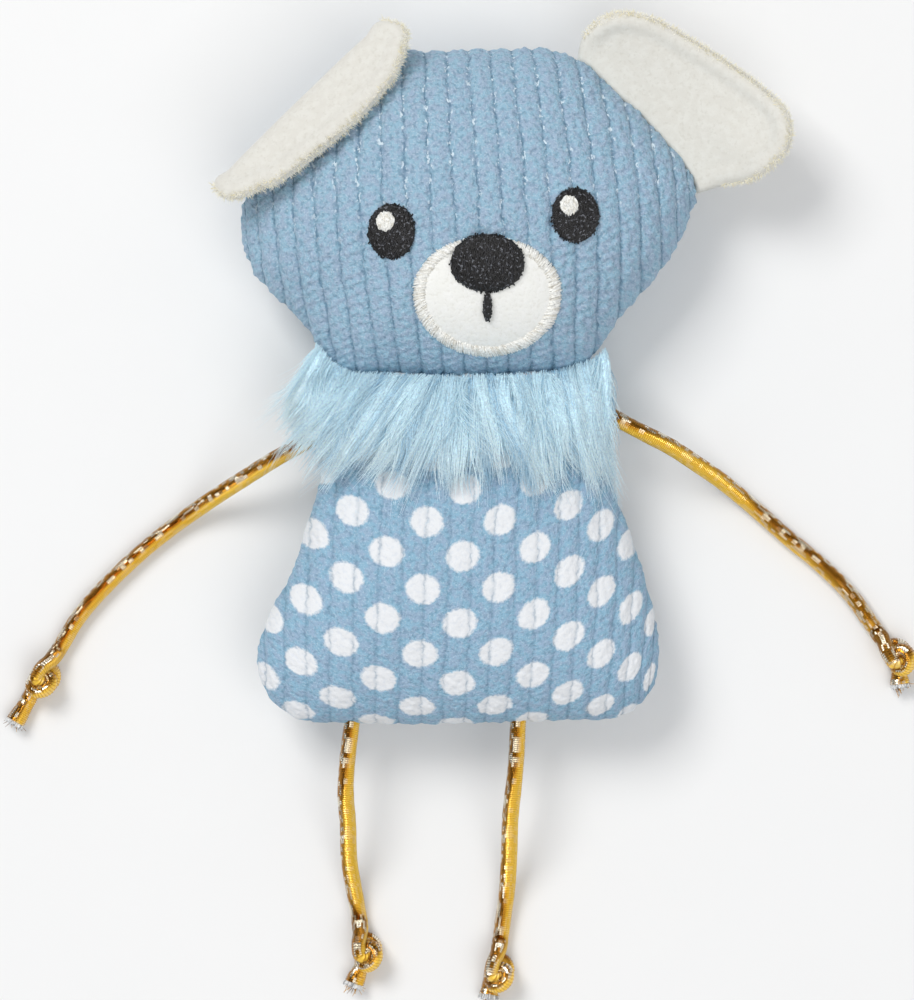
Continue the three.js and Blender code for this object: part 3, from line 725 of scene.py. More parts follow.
HEAD_CLOTH = CorduroyFinish(
    "head_corduroy",
    pitch=4.25 * MM,
    light=linear(188, 208, 220),
    main=linear(152, 186, 205),
    cool=linear(158, 179, 200),
    groove=linear(92, 126, 150),
    glint=linear(226, 240, 247),
    glint_share=0.85,
    groove_share=0.75,
    tufts=0.75,
)
BODY_CLOTH = CorduroyFinish(
    "dotted_corduroy",
    pitch=4.05 * MM,
    light=linear(178, 204, 218),
    main=linear(143, 181, 203),
    cool=linear(152, 176, 199),
    groove=linear(94, 128, 152),
    glint=linear(200, 222, 235),
    glint_share=0.3,
    groove_share=0.42,
    tufts=0.65,
    dot=linear(229, 230, 231),
)


def corduroy(finish: CorduroyFinish) -> Material:
    """Make a corduroy material from the mesh's "cloth" and "wale" layers.

    Args:
        finish: its colours and sizes.

    Returns:
        The material.
    """
    material, graph, surface = new_material(finish.name)
    cloth = graph.layer("cloth")
    values = {"Wale": graph.layer("wale"), "Pitch": finish.pitch, "Groove": 0.15, "Shake": 0.42}
    ribs = graph.effect(RIBS, values)
    pile = graph.effect(PILE, {"Place": cloth, "Scale": 1300.0})
    colour = graph.mix(graph.ramp(pile["Patch"], low=0.4, high=0.6), finish.main, finish.cool)
    colour = graph.mix(graph.ramp(pile["Speck"], low=0.5, high=0.72) * 0.7, colour, finish.light)
    # Painted shade between tufts: low places of the pile darken towards the groove colour.
    shade = graph.ramp(pile["Height"], low=0.34, high=0.52, start=0.42, end=0.0)
    colour = graph.mix(shade, colour, finish.groove)
    tufts = pile["Height"] + pile["Speck"] * 0.4 - 0.68
    if finish.dot is not None:
        sizes = (cloth, finish.dot_column, finish.dot_row, finish.dot_radius, finish.dot_edge)
        labels = ("Cloth", "Column", "Row", "Radius", "Edge")
        printed = graph.effect(DOTS, dict(zip(labels, sizes)))["Mask"]
        colour = graph.mix(printed, colour, graph.mix(shade * 0.75, finish.dot, finish.dot_shade))
        tufts = tufts * (1.0 - printed * 0.6)
    # Painted shade: the grooves are darkened towards the groove colour.
    colour = graph.mix(ribs["Groove"] * finish.groove_share, colour, finish.groove)
    bare_to = finish.bare_from + finish.bare_run
    bare = graph.ramp(graph.parts(cloth)[1], low=finish.bare_from, high=bare_to, start=0.1, end=1.0)
    colour = graph.mix(ribs["Glint"] * (bare * finish.glint_share), colour, finish.glint)
    normal = graph.bump(ribs["Height"], distance=0.4 * MM, strength=0.7 * finish.groove_share)
    values = {
        "Base Color": colour,
        "Normal": graph.bump(tufts, distance=0.6 * MM, strength=finish.tufts, normal=normal),
        "Roughness": 0.92,
        "Sheen Weight": 0.35,
        "Sheen Roughness": 0.45,
        "Sheen Tint": finish.light,
        "Specular IOR Level": 0.15,
    }
    graph.join(values, surface)
    return material


@dataclass(frozen=True)
class PlushFinish:
    """Colours of a short plush.

    Attributes:
        name: name of the material.
        light, main, shade: colours of the pile, lit, usual and between tufts.
        depth: height of the tufts, in metres.
        scale: tufts to a metre.
    """

    name: str
    light: Colour
    main: Colour
    shade: Colour
    depth: float
    scale: float = 1500.0


EAR_PLUSH = PlushFinish(
    "ear_plush",
    light=linear(223, 221, 213),
    main=linear(216, 213, 204),
    shade=linear(203, 199, 188),
    depth=0.12 * MM,
)
MUZZLE_PLUSH = PlushFinish(
    "muzzle_plush",
    light=linear(242, 241, 237),
    main=linear(238, 237, 231),
    shade=linear(222, 219, 210),
    depth=0.2 * MM,
)


def plush(finish: PlushFinish) -> Material:
    """Make a plush material from object coordinates.

    Args:
        finish: its colours and sizes.

    Returns:
        The material.
    """
    material, graph, surface = new_material(finish.name)
    pile = graph.effect(PILE, {"Place": graph.place(), "Scale": finish.scale})
    patch = graph.ramp(pile["Patch"], low=0.4, high=0.65, start=0.0, end=0.6)
    colour = graph.mix(patch, finish.main, finish.light)
    gap = graph.ramp(pile["Height"], low=0.3, high=0.48, start=0.45, end=0.0)
    values = {
        "Base Color": graph.mix(gap, colour, finish.shade),
        "Normal": graph.bump(pile["Height"], distance=finish.depth, strength=0.7),
        "Roughness": 0.95,
        "Sheen Weight": 0.4,
        "Sheen Roughness": 0.4,
        "Specular IOR Level": 0.1,
    }
    graph.join(values, surface)
    return material


@dataclass(frozen=True)
class StrandFinish:
    """Colours of threads or hairs, which have a "strand" layer.

    Attributes:
        name: name of the material.
        root, tip: colour at both ends of a strand.
        odd: colour of a few strands.
        odd_share: share of those strands.
        roughness: how dull they are.
        sheen: soft light on their edges.
        painted_glow: strength of a painted glow in the strands' own colour, standing in for light
            that comes through them from behind.
        glint: colour of painted highlights, short specks that stand in for light caught by the
            thread, or none.
    """

    name: str
    root: Colour
    tip: Colour
    odd: Colour
    odd_share: float
    roughness: float
    sheen: float = 0.2
    painted_glow: float = 0.0
    glint: Colour | None = None


# Fur with a painted glow.
COLLAR_FUR = StrandFinish(
    "collar_fur",
    root=linear(209, 237, 247),
    tip=linear(231, 247, 251),
    odd=linear(150, 194, 218),
    odd_share=0.48,
    roughness=0.6,
    sheen=0.6,
    painted_glow=0.12,
)
WHITE_THREAD = StrandFinish(
    "white_thread",
    root=linear(240, 239, 233),
    tip=linear(242, 241, 236),
    odd=linear(222, 218, 207),
    odd_share=0.3,
    roughness=0.38,
)
# Black thread with painted highlight specks.
BLACK_THREAD = StrandFinish(
    "black_thread",
    root=linear(12, 12, 14),
    tip=linear(15, 15, 17),
    odd=linear(40, 41, 46),
    odd_share=0.16,
    roughness=0.45,
    sheen=0.0,
    glint=linear(104, 106, 112),
)
# Rim hairs with a painted glow.
EAR_PILE = StrandFinish(
    "ear_pile",
    root=linear(238, 234, 218),
    tip=linear(248, 245, 232),
    odd=linear(238, 229, 194),
    odd_share=0.35,
    roughness=0.8,
    sheen=0.4,
    painted_glow=0.12,
)
CORD_CORE = StrandFinish(
    "cord_core",
    root=linear(214, 214, 212),
    tip=linear(232, 232, 231),
    odd=linear(176, 176, 175),
    odd_share=0.3,
    roughness=0.6,
)
GOLD_YARN = StrandFinish(
    "gold_yarn",
    root=linear(196, 140, 40),
    tip=linear(214, 160, 62),
    odd=linear(120, 78, 20),
    odd_share=0.3,
    roughness=0.35,
)


def strand_material(finish: StrandFinish) -> Material:
    """Make a material for threads or hairs: each has its own tone and runs root to tip.

    Args:
        finish: its colours and sizes.

    Returns:
        The material.
    """
    material, graph, surface = new_material(finish.name)
    tone, reach, _ = graph.parts(graph.layer("strand"))
    colour = graph.mix(graph.ramp(reach, low=0.1, high=0.9), finish.root, finish.tip)
    odd = graph.ramp(tone, low=1 - finish.odd_share * 1.3, high=1 - finish.odd_share * 0.5)
    colour = graph.mix(odd, colour, finish.odd)
    place = graph.place()
    fibre = graph.noise(place, scale=2600, detail=2)
    level = graph.ramp(fibre, low=0.3, high=0.7, start=0.82, end=1.12)
    grey = graph.add("ShaderNodeCombineColor", 0, {0: level, 1: level, 2: level})
    colour = graph.mix(1.0, colour, grey, "MULTIPLY")
    # Painted highlights: noise specks take the glint colour.
    if finish.glint is not None:
        spark = graph.ramp(graph.noise(place, scale=2100, detail=1), low=0.6, high=0.68)
        colour = graph.mix(spark, colour, finish.glint)
    values = {
        "Base Color": colour,
        "Normal": graph.bump(fibre, distance=0.08 * MM, strength=0.5),
        "Roughness": finish.roughness,
        "Sheen Weight": finish.sheen,
        "Sheen Roughness": 0.3,
    }
    # Painted glow: the strands emit their own colour, standing in for light that comes through
    # them.
    if finish.painted_glow:
        values |= {"Emission Color": colour, "Emission Strength": finish.painted_glow}
    graph.join(values, surface)
    return material


@dataclass(frozen=True)
class GoldFinish:
    """Colours of the wrapped metallic yarn, each as its worn and its fresher tone.

    Attributes:
        name: name of the material.
        dark: colours of the side away from the painted light, painted shade.
        gold: colours of the side towards the painted light, painted lighter.
        gap: darker colours between the rings, painted shade, on the painted shaded side and the
            painted lit side.
        glint: colour of painted highlights on some facets, mostly on the painted shaded side.
        lanes: facets round the cord.
    """

    name: str = "gold_cord"
    dark: tuple[Colour, Colour] = (linear(150, 98, 26), linear(206, 150, 58))
    gold: tuple[Colour, Colour] = (linear(250, 196, 52), linear(255, 214, 84))
    gap: tuple[Colour, Colour] = (linear(110, 68, 14), linear(196, 134, 30))
    glint: Colour = linear(255, 250, 232)
    lanes: float = 11.0


def gold_cord(finish: GoldFinish) -> Material:
    """Make the yarn of the limbs from the mesh's "twine" and "face" layers.

    The face layer says how much a place faces the painted light: the yarn is painted lighter gold
    there and darker opposite, with painted shade between the rings and painted highlights on some
    facets.

    Args:
        finish: its colours and sizes.

    Returns:
        The material.
    """
    material, graph, surface = new_material(finish.name)
    values = {"Twine": graph.layer("twine"), "Pitch": Limb.ring_pitch, "Lanes": finish.lanes}
    yarn = graph.effect(TWINE, values)
    # Painted light and shade: the side facing the painted light direction takes the lighter gold
    # colours, the other side the darker ones.
    painted_light = graph.ramp(graph.parts(graph.layer("face"))[0], low=0.42, high=0.68)
    dark, gold = (graph.mix(yarn["Wear"], *tones) for tones in (finish.dark, finish.gold))
    # Painted highlights: some facets are mixed to the near-white glint colour, mostly on the
    # painted shaded side.
    pale = graph.ramp(yarn["Facet"], low=0.56, high=0.68, start=0.0, end=0.9)
    pale = pale * (1.0 - painted_light * 0.85)
    warm = graph.mix(pale, graph.mix(painted_light, dark, gold), finish.glint)
    # Painted shade in the hollows between the rings.
    gap = graph.ramp(yarn["Ring"], low=0.0, high=0.42, start=0.85, end=0.0)
    normal = graph.bump(yarn["Slope"] * (1.0 - painted_light * 0.75), distance=0.26 * MM)
    values = {
        "Base Color": graph.mix(gap, warm, graph.mix(painted_light, *finish.gap)),
        "Normal": graph.bump(yarn["Ring"], distance=0.1 * MM, strength=0.9, normal=normal),
        "Roughness": graph.ramp(yarn["Facet"], low=0.0, high=1.0, start=0.1, end=0.24),
        "Metallic": 0.96 - painted_light * 0.7,
    }
    graph.join(values, surface)
    return material


# ---- picture, camera, light


@dataclass
class Picture:
    """The view of the toy from straight above, and places read from it.

    Attributes:
        width, height: size of the picture, in pixels.
        pixel: size of a pixel at the level of the seams.
        distance: height of the camera above the seams.
        neck: pixel of the neck's middle.
    """

    width: int = 914
    height: int = 1000
    pixel: float = 0.18 * MM
    distance: float = 1.1
    neck: Pixel = (469.0, 388.5)

    def place(self, pixels: Array, level: float | Array = SEAM_LEVEL) -> Array:
        """Find the points that show at pixels.

        Args:
            pixels: pixels, in the last axis.
            level: height of the points.

        Returns:
            The points' x and y, in the last axis.
        """
        grown = (self.distance + SEAM_LEVEL - np.asarray(level)) / self.distance * self.pixel
        steps = (np.asarray(pixels, float) - (self.width / 2, self.height / 2)) * (1, -1)
        return self.centre() + steps * np.expand_dims(grown, -1)

    def centre(self) -> Array:
        """Return x and y of the point in the middle of the picture."""
        steps = (self.width / 2 - self.neck[0], self.neck[1] - self.height / 2)
        return NECK[:2] + np.multiply(steps, self.pixel)

    def add_camera(self) -> None:
        """Add the camera."""
        data = bpy.data.cameras.new("camera")
        data.sensor_fit = "VERTICAL"
        data.sensor_height = 24
        data.lens = data.sensor_height * self.distance / (self.height * self.pixel)
        camera = bpy.data.objects.new("camera", data)
        camera.location = (*self.centre(), SEAM_LEVEL + self.distance)
        show(camera)
        bpy.context.scene.camera = camera
        bpy.context.scene.view_settings.view_transform = "Standard"


@dataclass
class Studio:
    """A pale floor under soft light from above, strongest from the upper left.

    Attributes:
        lamps: name, place, length of a side and power in watts of each lamp.
        floor_reach: half the width of the floor.
        floor_seen: colour of the floor where it is seen or mirrored.
        floor_grain: the two colours of its grain, which light the toy.
        surroundings: colour of the light all round.
        mirrored: what shiny yarn mirrors, towards its dark side and its pale one.
        strength: how strong the surroundings are.
    """

    lamps: tuple[tuple, ...] = (
        ("key", (-0.75, 0.85, 1.5), 0.8, 19.0),
        ("fill", (0.5, -0.7, 1.7), 1.4, 11.5),
    )
    floor_reach: float = 6.0
    floor_seen: Colour = linear(236, 236, 236)
    floor_grain: tuple[Colour, Colour] = (linear(236, 235, 233), linear(238, 237, 235))
    surroundings: Colour = linear(226, 229, 234)
    mirrored: tuple[Colour, Colour] = (linear(128, 112, 92), linear(252, 250, 246))
    strength: float = 0.6

    def add_lamp(self, name: str, place: Sequence[float], size: float, power: float) -> None:
        """Add a square lamp that faces the toy.

        Args:
            name: name of the lamp.
            place: its place.
            size: length of its side.
            power: its power, in watts.
        """
        data = bpy.data.lights.new(name, "AREA")
        data.shape = "SQUARE"
        data.size = size
        data.energy = power
        lamp = bpy.data.objects.new(name, data)
        lamp.location = place
        back = unit(np.array(place) - (0, 0, SEAM_LEVEL))
        lamp.rotation_mode = "QUATERNION"
        lamp.rotation_quaternion = Vector(back).to_track_quat("Z", "Y")
        show(lamp)

    def add_floor(self) -> None:
        """Add the floor, pale grey with a faint grain."""
        material, graph, surface = new_material("floor")
        seen = 0.0
        for ray in ("Is Camera Ray", "Is Glossy Ray", "Is Transmission Ray"):
            seen = graph.math("MAXIMUM", graph.add("ShaderNodeLightPath", ray), seen)
        shown = graph.mix(graph.noise(graph.place(), scale=40, detail=3), *self.floor_grain)
        colour = graph.mix(seen, self.floor_seen, shown)
        graph.join({"Base Color": colour, "Roughness": 0.9, "Specular IOR Level": 0.0}, surface)
        reach = self.floor_reach
        corners = [(-reach, -reach, 0), (reach, -reach, 0), (reach, reach, 0), (-reach, reach, 0)]
        mesh = bpy.data.meshes.new("floor")
        mesh.from_pydata(corners, [], [(0, 1, 2, 3)])
        mesh.materials.append(material)
        floor = bpy.data.objects.new("floor", mesh)
        show(floor)

    def add_world(self) -> None:
        """Add the surroundings: even light, and for mirrored rays a dark side and a pale one."""
        world = bpy.data.worlds.new("studio")
        world.use_nodes = True
        bpy.context.scene.world = world
        graph = Graph(world.node_tree)
        right, ahead, up = graph.parts(graph.add("ShaderNodeTexCoord", "Generated"))
        zone = graph.ramp(up * 0.7 + right * 0.42 - ahead * 0.66, low=0.0, high=0.55)
        glossy = graph.add("ShaderNodeLightPath", "Is Glossy Ray")
        colour = graph.mix(glossy, self.surroundings, graph.mix(zone, *self.mirrored))
        background = world.node_tree.nodes["Background"]
        graph.join({"Color": colour, "Strength": self.strength}, background.inputs)

    def build(self) -> None:
        """Add floor, surroundings and lamps."""
        self.add_floor()
        self.add_world()
        for lamp in self.lamps:
            self.add_lamp(*lamp)


# ---- elastic limbs


@dataclass
class Limb:
    """One elastic cord with an overhand knot and a cut end.

    Attributes:
        name: name of its CAD body.
        pixels: its route in the picture, from the exit to the knot.
        tail: length past the knot's middle.
        tail_lean: how far the cut end lies beside the cord's line.
    """

    name: str
    pixels: tuple[Pixel, ...]
    tail: float
    tail_lean: float = 0.0

    diameter: float = 2.9 * MM
    ring_pitch: float = 0.36 * MM
    rings_per_pitch: int = 4
    smoothing: int = 40
    sides: int = 22
    exit_run: float = 9 * MM
    sewn_run: float = 3 * MM
    droop_run: float = 28 * MM
    rest_level: float = 1.8 * MM
    # Direction that the cord's painted light side faces; the yarn is painted lighter there and
    # darker opposite.
    painted_light_side: tuple[float, float, float] = (0.55, -0.83, 0.0)
    end_flare: float = 0.22
    end_run: float = 4 * MM
    knot_ring: float = 1.6 * MM
    knot_pipe: float = 1.12 * MM
    knot_radius: float = 1.3 * MM
    knot_lift: float = 1.6 * MM
    knot_tilt: float = 0.62
    knot_reach: float = 5.8 * MM
    knot_points: int = 34
    knot_core: float = 2.9 * MM
    knot_fade: float = 1.9 * MM
    open_turn: float = 0.52
    tail_drop: float = 0.3 * MM
    ring_depth: float = 0.045
    unevenness: float = 0.03 * MM
    uneven_run: float = 5 * MM
    closed_end: float = 0.02 * MM
    knot_clearance: float = 1.1
    clearance: float = 1.06
    cut_points: int = 12
    fibres: int = 150
    fibre_radius: float = 0.17 * MM
    fibre_bunch: float = 0.9
    fibre_flare: float = 0.18
    fibre_gap: float = 0.2 * MM
    fibre_steps: Shares = (-0.5, -0.1, 0.3, 0.7, 0.95, 1.0)
    fibre_taper: Shares = (1, 1, 1, 1, 0.8, 0.05)
    strays: int = 26
    stray_radius: float = 0.07 * MM
    stray_width: float = 1.6
    stray_lean: tuple[float, float, float] = (0.8, 0.8, 0.35)
    stray_bend: float = 0.25 * MM
    stray_gap: float = 0.15 * MM

    def exit(self) -> Array:
        """Return the point where the cord leaves the body's seam."""
        return np.array(JOINTS[f"{self.name}_swing"]["pos_m"])

    def free_run(self) -> Array:
        """Follow the picture from the seam to the knot's middle, and droop to the floor.

        Returns:
            The points.
        """
        steps = (np.array(self.pixels) - self.pixels[0]) * (Picture.pixel, -Picture.pixel)
        sewn = -unit(steps[1]) * self.sewn_run
        flat = self.exit()[:2] + np.concatenate([[sewn], steps])
        run = travelled(flat)
        drop = ease((run - self.exit_run) / self.droop_run)
        level = SEAM_LEVEL + (self.rest_level - SEAM_LEVEL) * drop
        return np.column_stack([flat, level])

    def knot_run(self, centre: Array, ahead: Array) -> Array:
        """Follow the overhand knot.

        The loop winds twice round a ring and three times round its pipe:
        reach = ring + pipe cos 3t at the angle 2t, height = pipe sin 3t. It is
        opened at its first crossing, where the cord comes in and goes out. Its far
        side is tilted up, so that the turns lie over one another.

        Args:
            centre: middle of the knot.
            ahead: direction of the cord there.

        Returns:
            Points along the cord.
        """
        t = np.linspace(self.open_turn, FULL_TURN - self.open_turn, self.knot_points)
        reach = self.knot_ring + self.knot_pipe * np.cos(3 * t)
        loop = np.column_stack(
            [reach * np.cos(2 * t), reach * np.sin(2 * t), self.knot_pipe * np.sin(3 * t)]
        )
        cosine, sine = math.cos(self.knot_tilt), math.sin(self.knot_tilt)
        loop[:, 1:] = loop[:, 1:] @ np.array([[cosine, sine], [-sine, cosine]])
        loop[:, 2] += self.knot_lift
        entry, climb = 0.5 * self.knot_ring, 1.5 * self.knot_pipe
        before = [
            (0, -self.knot_reach, 0),
            (0.2 * entry, -0.62 * self.knot_reach, 0.6 * (climb + self.knot_lift)),
            (entry, -1.1 * self.knot_ring, climb + self.knot_lift),
        ]
        after = [(entry, 1.1 * self.knot_ring, self.knot_lift - climb)]
        if self.tail > self.knot_reach:
            after.append((0.2 * entry, 0.62 * self.knot_reach, -self.tail_drop))
        after.append((self.tail_lean, self.tail, 0))
        local = np.concatenate([before, loop, after])
        across = np.array([ahead[1], -ahead[0], 0])
        return centre + local[:, :1] * across + local[:, 1:2] * ahead + local[:, 2:] * UP

    def path(self) -> Array:
        """Return the centreline from the seam to the cut end, smoothed as (1, 2, 1) / 4.

        Returns:
            The points.
        """
        route = self.free_run()
        centre = route[-1]
        straight = self.knot_reach + 2 * self.diameter
        free = route[np.linalg.norm(route - centre, axis=1) > straight]
        ahead = unit((centre - free[-1]) * (1, 1, 0))
        knot = self.knot_run(centre, ahead)
        lead = centre - ahead * (self.knot_reach + self.diameter)
        points = np.concatenate([free, [lead], knot])
        path = spaced(points, self.ring_pitch / self.rings_per_pitch)
        path[:, 2] = np.maximum(path[:, 2], self.knot_radius * self.knot_clearance)
        for _ in range(self.smoothing):
            path[1:-1] = (path[:-2] + 2 * path[1:-1] + path[2:]) / 4
        return path

    def build(self, gold: Material, core: Material, yarn: Material) -> None:
        """Build the cord, its core end and its stray yarns.

        Args:
            gold, core, yarn: their finishes.
        """
        path = self.path()
        centre = self.free_run()[-1]
        run = travelled(path)
        away = np.linalg.norm((path - centre) * (1, 1, 0), axis=1)
        loose = ease((away - self.knot_core) / self.knot_fade)
        radius = self.knot_radius + (self.diameter / 2 - self.knot_radius) * loose
        radius = radius * (1 + self.end_flare * ease((run - run[-1]) / self.end_run + 1))
        turn = run / self.ring_pitch
        path[:, 2] = np.maximum(path[:, 2], radius * self.clearance)
        thick = radius * (1 + self.ring_depth * np.cos(turn * FULL_TURN))
        thick = thick + self.unevenness * waves(run, run, self.uneven_run, 3)
        thick[[0, -1]] = self.closed_end
        tube = make_tubes(path[None], thick[None], self.sides, np.zeros(1))
        spokes = np.broadcast_to(np.arange(self.sides) / self.sides, (len(path), self.sides))
        runs = np.broadcast_to(run[:, None], spokes.shape)
        layer = np.stack([np.abs(spokes - 0.5) * 2, runs], axis=-1)
        # The face layer: how much each vertex faces the painted light side, which the yarn's
        # painted light and shade read.
        outward = unit(tube.vertices.reshape(len(path), self.sides, 3) - path[:, None])
        facing = 0.5 + 0.5 * outward @ np.array(self.painted_light_side)
        layers = {"twine": layer, "face": np.stack([facing, facing], axis=-1)}
        name = f"{self.name}_elastic"
        piece = add_piece(name, self.name, tube.vertices, tube.faces, gold, layers)
        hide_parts(f"{self.name}_cord", f"{self.name}_knot")
        fibres = self.build_core(path, radius[-1], core)
        strays = self.build_strays(path, yarn)

    def cut(self, path: Array) -> tuple[Array, Array, Array]:
        """Return the middle of the cut end, the cord's direction there and the one across it."""
        ahead = unit(path[-1] - path[-self.cut_points])
        return path[-1], ahead, unit(np.cross(ahead, UP))

    def build_core(self, path: Array, radius: float, core: Material) -> Piece:
        """Add the bunch of rubber threads that shows at the cut end.

        Args:
            path: centreline of the cord.
            radius: radius of the cut end.
            core: their finish.

        Returns:
            The piece.
        """
        end, ahead, side = self.cut(path)
        rng = np.random.default_rng(len(self.pixels))
        count = self.fibres
        lift = np.cross(side, ahead)
        turn = rng.random(count) * FULL_TURN
        reach = np.sqrt(rng.random(count)) * radius * self.fibre_bunch
        spread = side * (np.cos(turn) * reach)[:, None] + lift * (np.sin(turn) * reach)[:, None]
        length = (0.45 + 0.45 * rng.random(count)) * MM
        steps = np.array(self.fibre_steps)
        flare = 1 + self.fibre_flare * np.maximum(steps, 0)
        forward = ahead * (steps[None, :, None] * length[:, None, None])
        paths = end + spread[:, None] * flare[:, None] + forward
        paths[..., 2] = np.maximum(paths[..., 2], self.fibre_gap)
        radii = np.broadcast_to(np.array(self.fibre_taper) * self.fibre_radius, paths.shape[:2])
        tubes = make_tubes(paths, radii, 5, rng.random(count))
        piece = tubes.add(f"{self.name}_core_fibres", self.name, core)
        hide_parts(f"{self.name}_core_end")
        return piece

    def build_strays(self, path: Array, yarn: Material) -> Piece:
        """Add the frayed yarns round the cut end.

        Args:
            path: centreline of the cord.
            yarn: their finish.

        Returns:
            The piece.
        """
        end, ahead, side = self.cut(path)
        rng = np.random.default_rng(7 * len(self.pixels))
        count = self.strays
        lean = unit(ahead + rng.normal(size=(count, 3)) * self.stray_lean)
        aside = (rng.random(count) - 0.5) * self.stray_width * self.knot_radius
        root = end + side * aside[:, None]
        length = (0.8 + 1.6 * rng.random(count) ** 2) * MM
        steps = np.linspace(0, 1, 6)
        bend = rng.normal(size=(count, 3)) * self.stray_bend
        paths = hairs(root, lean, length, bend, steps)
        paths[..., 2] = np.maximum(paths[..., 2], self.stray_gap)
        radii = np.full(paths.shape[:2], self.stray_radius) * (1 - 0.5 * steps)
        tubes = make_tubes(paths, radii, 4, rng.random(count))
        piece = tubes.add(f"{self.name}_frayed_yarn", self.name, yarn)
        return piece


LIMBS = (
    Limb(
        "left_arm",
        (
            (332, 424), (305, 439), (279, 453), (248, 472), (216, 492), (188, 511), (161, 531),
            (135, 553), (110, 577), (92, 596), (76, 616), (61, 636), (50, 653), (41, 674),
        ),
        tail=9.3 * MM,
    ),
    Limb(
        "right_arm",
        (
            (595, 405), (617, 418), (640, 430), (666, 443), (693, 460), (720, 478), (752, 504),
            (786, 534), (820, 562), (850, 592), (874, 618), (888, 636), (896, 656),
        ),
        tail=4.4 * MM,
        tail_lean=2.2 * MM,
    ),
    Limb(
        "left_leg",
        (
            (346, 732), (343, 757), (341, 790), (343, 824), (344, 863), (346, 901), (351, 932),
            (359, 955),
        ),
        tail=5.4 * MM,
        tail_lean=2.8 * MM,
    ),
    Limb(
        "right_leg",
        (
            (520, 730), (519, 752), (517, 776), (513, 815), (512, 853), (510, 891), (508, 930),
            (504, 955), (499, 974),
        ),
        tail=4.4 * MM,
        tail_lean=0.8 * MM,
    ),
)


# ---- stuffed pouches


@dataclass
class Form:
    """A flat outline swollen to both sides of its seam.

    Attributes:
        centre_pixel: pixel of its middle.
        half_width, half_height: half sizes of its outline.
        front_rise, back_rise: how far each side rises at the middle.
        shares: its outline as shares of the half sizes, all round.
        seed: number that picks its lumps.
    """

    centre_pixel: Pixel
    half_width: float
    half_height: float
    front_rise: float
    back_rise: float
    shares: Shares
    seed: int = 1

    power: float = 2.3
    roundness: float = 0.55
    lump: float = 0.35 * MM
    lump_run: float = 24 * MM
    floor_gap: float = 0.02 * MM
    probe: float = 0.05 * MM
    flattest: float = 1e-5

    def __post_init__(self) -> None:
        """Work out where the middle lies."""
        steps = (np.array(self.centre_pixel) - Picture.neck) * (Picture.pixel, -Picture.pixel)
        self.centre = NECK[:2] + steps

    def share(self, x: Array, y: Array) -> Array:
        """Return how far points lie from the middle, 1 on the outline.

        Args:
            x, y: the points.

        Returns:
            Their shares.
        """
        side = (x - self.centre[0]) / self.half_width
        up = (y - self.centre[1]) / self.half_height
        return np.hypot(side, up) / around(self.shares, np.arctan2(up, side))

    def outline(self, angle: Array) -> Array:
        """Return x and y of the outline at angles, in the last axis.

        Args:
            angle: the angles.

        Returns:
            The points.
        """
        reach = around(self.shares, angle)
        half = np.array([self.half_width, self.half_height])
        way = np.stack([np.cos(angle), np.sin(angle)], axis=-1)
        return self.centre + reach[..., None] * half * way

    def rise(self, side: Side) -> float:
        """Return how far one side rises at the middle."""
        return self.front_rise if side is Side.FRONT else self.back_rise

    def swell(self, share: Array) -> Array:
        """Return the swell, (1 - s^power)^roundness."""
        return np.maximum(1 - np.minimum(share, 1) ** self.power, 0) ** self.roundness

    def height(self, x: Array, y: Array, side: Side = Side.FRONT) -> Array:
        """Return the height of one side over points.

        Args:
            x, y: the points.
            side: the side.

        Returns:
            The heights.
        """
        lumps = self.lump * waves(x, y, self.lump_run, self.seed)
        swell = self.swell(self.share(x, y))
        level = SEAM_LEVEL + side.value * swell * (self.rise(side) + lumps)
        return level if side is Side.FRONT else np.maximum(level, self.floor_gap)

    def normal(self, x: Array, y: Array, side: Side) -> Array:
        """Return the outward normals of one side over points.

        With s the share, the normal is (-h'(s) grad s, 1) scaled to one.

        Args:
            x, y: the points.
            side: the side.

        Returns:
            The normals.
        """
        step = self.probe
        grad_x = (self.share(x + step, y) - self.share(x - step, y)) / (2 * step)
        grad_y = (self.share(x, y + step) - self.share(x, y - step)) / (2 * step)
        s = np.clip(self.share(x, y), 0, 1)
        inner = np.maximum(1 - s**self.power, self.flattest)
        slope = self.rise(side) * self.roundness * self.power * s ** (self.power - 1)
        slope = slope * inner ** (self.roundness - 1)
        flat = np.stack([slope * grad_x, slope * grad_y], axis=-1)
        return unit(np.concatenate([flat, np.full((*x.shape, 1), float(side.value))], axis=-1))


